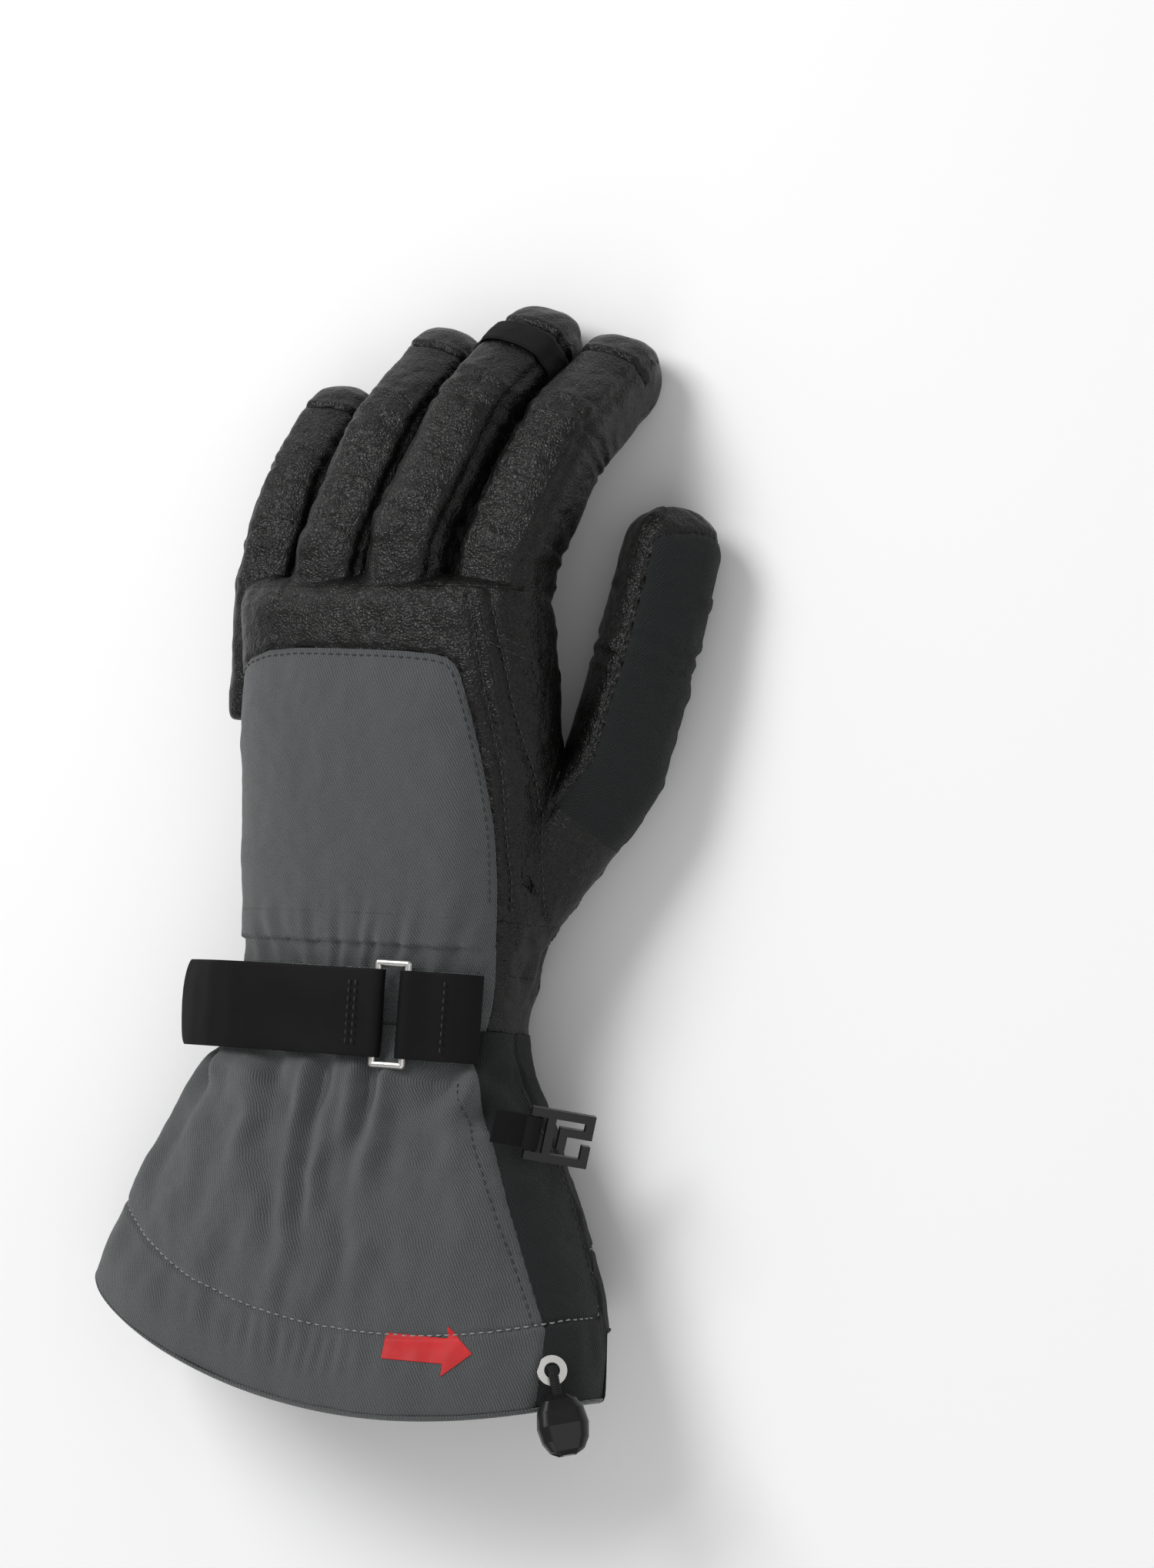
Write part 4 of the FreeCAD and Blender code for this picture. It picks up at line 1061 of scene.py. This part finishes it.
def hem_edge(u, edge):
    """Rolled edge where the hem turns inside."""
    halves = (("hem_roll_back", 0.0, math.pi, GREY), ("hem_roll_palm", math.pi, 2 * math.pi, BLACK))
    for name, low, high, material in halves:
        keep = (u >= low) & (u <= high)
        uk, ek = u[keep], edge[keep]
        profile = np.linspace(-math.pi / 2, math.pi / 2, 9)
        verts = []
        for p in profile:
            inset = 1.1 + 1.3 * math.sin(p)
            y = ek - 1.1 * math.cos(p)
            x, z = cuff_point(uk, ek, inset)
            verts.append(np.stack([x, y, np.maximum(z, 0.2)], 1))
        tris = grid_triangles(len(profile), len(uk), False)
        verts = np.concatenate(verts)
        roll = piece(name, verts, tris, material, 0.5, verts, "cuff")
        if name == "hem_roll_back":
            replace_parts(roll, "hem_facing")


def cuff_lining(u, edge):
    """Quilted fleece inside the cuff, and the facing of the hem."""
    rings = 60
    t = np.linspace(0, 1, rings)
    yy = 20.0 + (edge[None, :] - 20.0) * t[:, None]
    uu = np.broadcast_to(u, yy.shape)
    x, z = cuff_point(uu, np.minimum(yy, -10.0), 4.0)
    wrist = step(yy, -22, -6)
    cx, cz, w, h, _ = look_up(HAND_ROWS, np.clip(yy, -10, 30))
    hx, hz = section(uu, w - 4.0, h - 4.0)
    x, z = x * (1 - wrist) + (cx + hx) * wrist, z * (1 - wrist) + (cz + hz) * wrist
    points = np.stack([x, yy, z], -1).reshape(-1, 3)
    quilt = np.abs(np.sin(points[:, 1] * math.pi / 24.0)) ** 0.5 * 1.2 - 0.6
    centre = np.stack([np.full(len(points), -1.0), points[:, 1], np.full(len(points), 28.0)], 1)
    inward = centre - points
    inward /= np.linalg.norm(inward, axis=1)[:, None]
    points = points + inward * (quilt + fractal(points, 14.0, 1.0, 2) * 0.5)[:, None]
    tris = grid_triangles(rings, len(u))
    lining = piece("cuff_fleece_lining", points, tris, FLEECE, 0.8, points, "cuff")
    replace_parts(lining, "cuff_liner", "hem_cord")


def cuff_stitching(surface, u, edge):
    """Light thread round the hem, and dark thread beside the seams."""
    lines = {"back": [], "palm": []}
    for k, (a, e) in enumerate(zip(u, edge)):
        if math.sin(a) > 0.02:
            side = "back"
        elif a > math.pi:
            side = "palm"
        else:
            continue
        y = e + HEM_DEPTH
        cx, cz, _, _ = look_up(CUFF_ROWS, y)
        x, z = section(np.array([a]), *(look_up(CUFF_ROWS, y)[2:]))
        way = unit([x[0], 0, z[0]])
        hit = surface.out_from(np.array([cx, y, cz]), way, 120.0)
        if hit is not None:
            lines[side].append(hit)
    stitches("stitch_hem_back", [np.array(lines["back"])], surface.normal, 2.5, 0.27, THREAD_GREY, "cuff")
    stitches("stitch_hem_palm", [np.array(lines["palm"])], surface.normal, 2.5, 0.27, THREAD_GREY, "cuff")
    (y0, x0), (y1, x1) = GUSSET
    beside = -2.2
    seam = [surface.lay([(x0 + beside, y0 - 6), (x1 + beside, y1 - 2)])]
    stitches("stitch_gusset", seam, surface.normal, 2.6, 0.2, THREAD, "cuff")
    for side, sign in (("left", -1), ("right", 1)):
        line = []
        for y in np.arange(-18, -76, -1.0):
            cx, cz, w, h = look_up(CUFF_ROWS, y)
            outside = Vector((cx + sign * (w + 30), y, SEAM_Z + 2.0))
            hit = surface.tree.ray_cast(outside, Vector((-sign, 0, 0)))
            if hit[0] is not None:
                line.append(np.array(hit[0]))
        stitches(f"stitch_side_{side}", [np.array(line)], surface.normal, 2.6, 0.2, THREAD, "cuff")


# ------------------------------------------------------------------ strap, ring, clip and pulls


def finish_cad(node, material):
    """Keeps a CAD node whose shape is right, with its own material."""
    obj = frame["nodes"][node]
    obj.data.materials.clear()
    obj.data.materials.append(material)


def soft_ribbon(name, route, half_width, thickness, material, body, nodes, wave=0.25, seed=1.0, taper=0.0):
    """A strap along an XZ route: crowned edges, slight waviness and a rounded end.

    Returns the points and the outward ways of its middle line.
    """
    fine, _ = resample([(x, 0, z) for x, z in route], 0.7)
    fine = np.asarray(fine)
    smooth = smoothed([(i, *p) for i, p in enumerate(fine)], len(fine), 4.0)[:, 1:]
    s = np.r_[0, np.cumsum(np.linalg.norm(np.diff(smooth, axis=0), axis=1))]
    way = np.gradient(smooth, axis=0)
    way /= np.linalg.norm(way, axis=1)[:, None]
    out = np.stack([-way[:, 2], np.zeros(len(way)), way[:, 0]], 1)
    out *= np.sign(out[len(out) // 2, 2]) or 1
    columns = np.linspace(-1, 1, 31)
    verts, flat = [], []
    for k, p in enumerate(smooth):
        left = s[-1] - s[k]
        pinch = 1.0 if not taper else min(1.0, (1 - max(0.0, 1 - left / taper) ** 2.4) ** 0.5 + 0.02)
        for c in columns:
            y = c * half_width * pinch
            lift = wave * noise.noise(Vector((s[k] / 14, y / 12, seed))) + 0.12 * (1 - abs(c) ** 8)
            verts.append(p + out[k] * lift + np.array([0, y, 0]))
            flat.append((s[k], y, 0))
    tris = grid_triangles(len(smooth), len(columns), False)
    verts = np.array(verts)
    if (normals_of(verts, tris) * np.repeat(out, len(columns), 0)).sum() < 0:
        tris = tris[:, ::-1]
    strap = piece(name, verts + np.repeat(out, len(columns), 0) * thickness / 2, tris, material, thickness, flat, body)
    modifier(strap, "BEVEL", width=0.0003, segments=2, limit_method="ANGLE", angle_limit=math.radians(50))
    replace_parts(strap, *nodes)
    return smooth, out


def straight_up(point):
    return np.array([0.0, 0.0, 1.0])


def strap_stitch(name, lines, body):
    stitches(name, lines, straight_up, 2.3, 0.22, THREAD, body)


def build_strap():
    ring_x, ring_z, span = 12.0, 52.2, 9.0
    bar_r, slack, half_strap = 1.1, 0.15, 0.7
    fold_r = bar_r + slack + half_strap
    turns = np.linspace(-2.2, 1.7, 16)
    tail_turn = [(ring_x + fold_r * math.cos(a), ring_z + fold_r * math.sin(a)) for a in turns]
    tail = tail_turn + [(-6, 53.0), (-18, 52.6), (-28, 51.6), (-37, 49.2), (-46, 45.0), (-54, 39.8), (-61, 34.2)]
    top, out = soft_ribbon("strap_tail_rubbery", tail, 12.5, 1.3, STRAP, "strap_end", ["strap_tail"], 0.35, 2.0, 6.0)
    lines = []
    for x in (4.4, 6.6):
        k = int(np.argmin(np.abs(top[:, 0] - x) + (top[:, 2] < ring_z) * 50))
        base = top[k] + out[k] * 1.45
        lines.append(np.array([base + [0, y, 0] for y in np.linspace(-9.5, 9.5, 30)]))
    strap_stitch("stitch_strap_fold", lines, "strap_end")
    bar_x, bar_z = ring_x + span, ring_z - 0.9
    turn = [(bar_x + fold_r * math.cos(a), bar_z + fold_r * math.sin(a)) for a in np.linspace(5.3, 1.45, 16)]
    anchor = turn + [(28, 50.6), (34, 49.4), (39, 47.0), (41.5, 44.5)]
    top, out = soft_ribbon("strap_anchor_rubbery", anchor, 12.5, 1.3, STRAP, "cuff", ["strap_anchor"], 0.25, 5.0)
    k = int(np.argmin(np.abs(top[:, 0] - 32.5)))
    lines = [np.array([top[k] + out[k] * 1.45 + [0, y, 0] for y in np.linspace(-10.5, 10.5, 30)])]
    strap_stitch("stitch_strap_anchor", lines, "cuff")
    wrist_loop_patch()
    finish_cad("strap_ring", STEEL)


def wrist_loop_patch():
    """Soft loop half of the fastener, round the back of the wrist under the tail."""
    angles = np.linspace(math.radians(80), math.radians(212), 130)
    rows = np.linspace(-12.5, 12.5, 41)
    verts, flat = [], []
    for a in angles:
        for y in rows:
            cx, cz, w, h, _ = look_up(HAND_ROWS, y)
            x, z = section(np.array([a]), w + 1.1, h + 1.1)
            fuzz = 0.25 * noise.noise(Vector((a * 90, y * 1.9, 3.0)))
            verts.append((cx + x[0] * (1 + fuzz / 45), y, cz + z[0] + fuzz * 0.5))
            flat.append((a * 45, y, 0))
    tris = grid_triangles(len(angles), len(rows), False)
    verts = np.array(verts)
    if (normals_of(verts, tris) @ np.array([0, 0, 1.0])).sum() < 0:
        tris = tris[:, ::-1]
    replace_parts(piece("wrist_loop_pile", verts, tris, LOOP_PILE, 1.1, flat, "cuff"), "strap_lower")


def build_hardware():
    finish_cad("clip_hook", GLOSS)
    finish_cad("hem_eyelets", STEEL)
    finish_cad("clip_webbing", WEBBING)
    for name in ("close", "open"):
        finish_cad(f"{name}_toggle", GLOSS)
        way = unit(JOINTS[f"{name}_draw"]["axis"])
        start = local(f"{name}_swing")
        length, rings, sides = 7.0, 40, 20
        points = [start + way * (s - 1.0) for s in np.linspace(0, length + 2.5, rings)]
        verts, faces = tube_along(points, 1.3 + 0.06 * np.cos(np.arange(rings) * 1.9), sides)
        cord = make_mesh(f"{name}_cord_end", verts, faces, CORD)
        along, around = np.repeat(np.arange(rings) * 0.3, sides), np.tile(np.arange(sides) * 0.5, rings)
        set_flat(cord, np.stack([along, around, np.zeros(rings * sides)], 1))
        attach(cord, (f"{name}_lead", f"{name}_pull"))
        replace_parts(cord, f"{name}_cord")


def build_arrow(surface):
    x, y, length, width, head = 28.0, -92.0, 26.0, 7.0, 8.0
    neck, shaft = x + length - head, width / 2
    outline = [(x, y - shaft), (neck, y - shaft), (neck, y - width), (x + length, y),
               (neck, y + width), (neck, y + shaft), (x, y + shaft)]
    pitch = 0.35
    xs = np.arange(x - 0.5, x + length + 1.0, pitch)
    ys = np.arange(y - width - 0.5, y + width + 0.8, pitch)
    grid = np.array([(a, b) for b in ys for a in xs])
    hits = [surface.drop(a, b) for a, b in grid]
    verts = np.array([h + [0, 0, 0.22] if h is not None else (a, b, 60) for h, (a, b) in zip(hits, grid)])
    field = np.where(inside(grid, outline), 1, -1) * polyline_distance(grid, outline + outline[:1])
    quads = np.array(grid_faces(len(ys), len(xs), False))
    tris = np.concatenate([quads[:, [0, 1, 2]], quads[:, [0, 2, 3]]])
    v, _, arrow, _ = cut_by(verts, tris, field)
    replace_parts(piece("hem_arrow_print", v, arrow, RED, 0.2, None, "cuff"), "close_arrow")


# ------------------------------------------------------------------ studio


def studio():
    bpy.context.scene.view_settings.view_transform = "Standard"
    corners = [(-1, -1), (1, -1), (1, 1), (-1, 1)]
    corners = [(x * FLOOR_HALF, y * FLOOR_HALF, -MOVE[2] - FLOOR_DROP) for x, y in corners]
    floor = make_mesh("floor", corners, [(0, 1, 2, 3)])
    n = Nodes("floor_pale")
    floor.data.materials.append(n.finish(Base_Color=(0.93, 0.93, 0.93, 1), Roughness=0.9))
    world = bpy.data.worlds.new("studio")
    bpy.context.scene.world = world
    world.use_nodes = True
    world.node_tree.nodes["Background"].inputs[0].default_value = (1, 1, 1, 1)
    world.node_tree.nodes["Background"].inputs[1].default_value = WORLD_LIGHT
    for name, place, size, power in (
        ("key", (-0.55, 0.65, 1.1), 0.7, 13.0),
        ("fill", (0.9, -0.2, 1.0), 1.1, 3.4),
        ("rim", (0.1, -0.9, 0.8), 0.8, 2.2),
    ):
        light = bpy.data.lights.new(name, "AREA")
        light.size, light.energy = size, power
        obj = bpy.data.objects.new(name, light)
        obj.location = place
        obj.rotation_euler = (Vector((0, 0, 0.03)) - Vector(place)).to_track_quat("-Z", "Y").to_euler()
        bpy.context.scene.collection.objects.link(obj)
    camera = bpy.data.objects.new("camera", bpy.data.cameras.new("camera"))
    bpy.context.scene.collection.objects.link(camera)
    bpy.context.scene.camera = camera
    camera.data.lens, camera.data.sensor_width, camera.data.sensor_fit = CAMERA_LENS, 36.0, "HORIZONTAL"
    aim = Vector((np.array(CAMERA_AIM) + MOVE) * MM)
    tilt, lean, roll = (math.radians(a) for a in (CAMERA_TILT, CAMERA_LEAN, CAMERA_ROLL))
    out = Vector((math.sin(tilt) * math.cos(lean), math.sin(lean), math.cos(tilt) * math.cos(lean))).normalized()
    up = Vector((-math.sin(roll), math.cos(roll), 0.0))
    right = up.cross(out).normalized()
    up = out.cross(right)
    place = aim + (right * CAMERA_PAN[0] + up * CAMERA_PAN[1]) * MM + out * CAMERA_DISTANCE
    camera.matrix_world = Matrix.Translation(place) @ Matrix((right, up, out)).transposed().to_4x4()


def main():
    skin = Skin()
    build_hand(skin)
    hand_stitching(skin)
    ribbed_band(skin)
    surface = build_cuff()
    build_arrow(surface)
    build_strap()
    build_hardware()
    studio()


main()
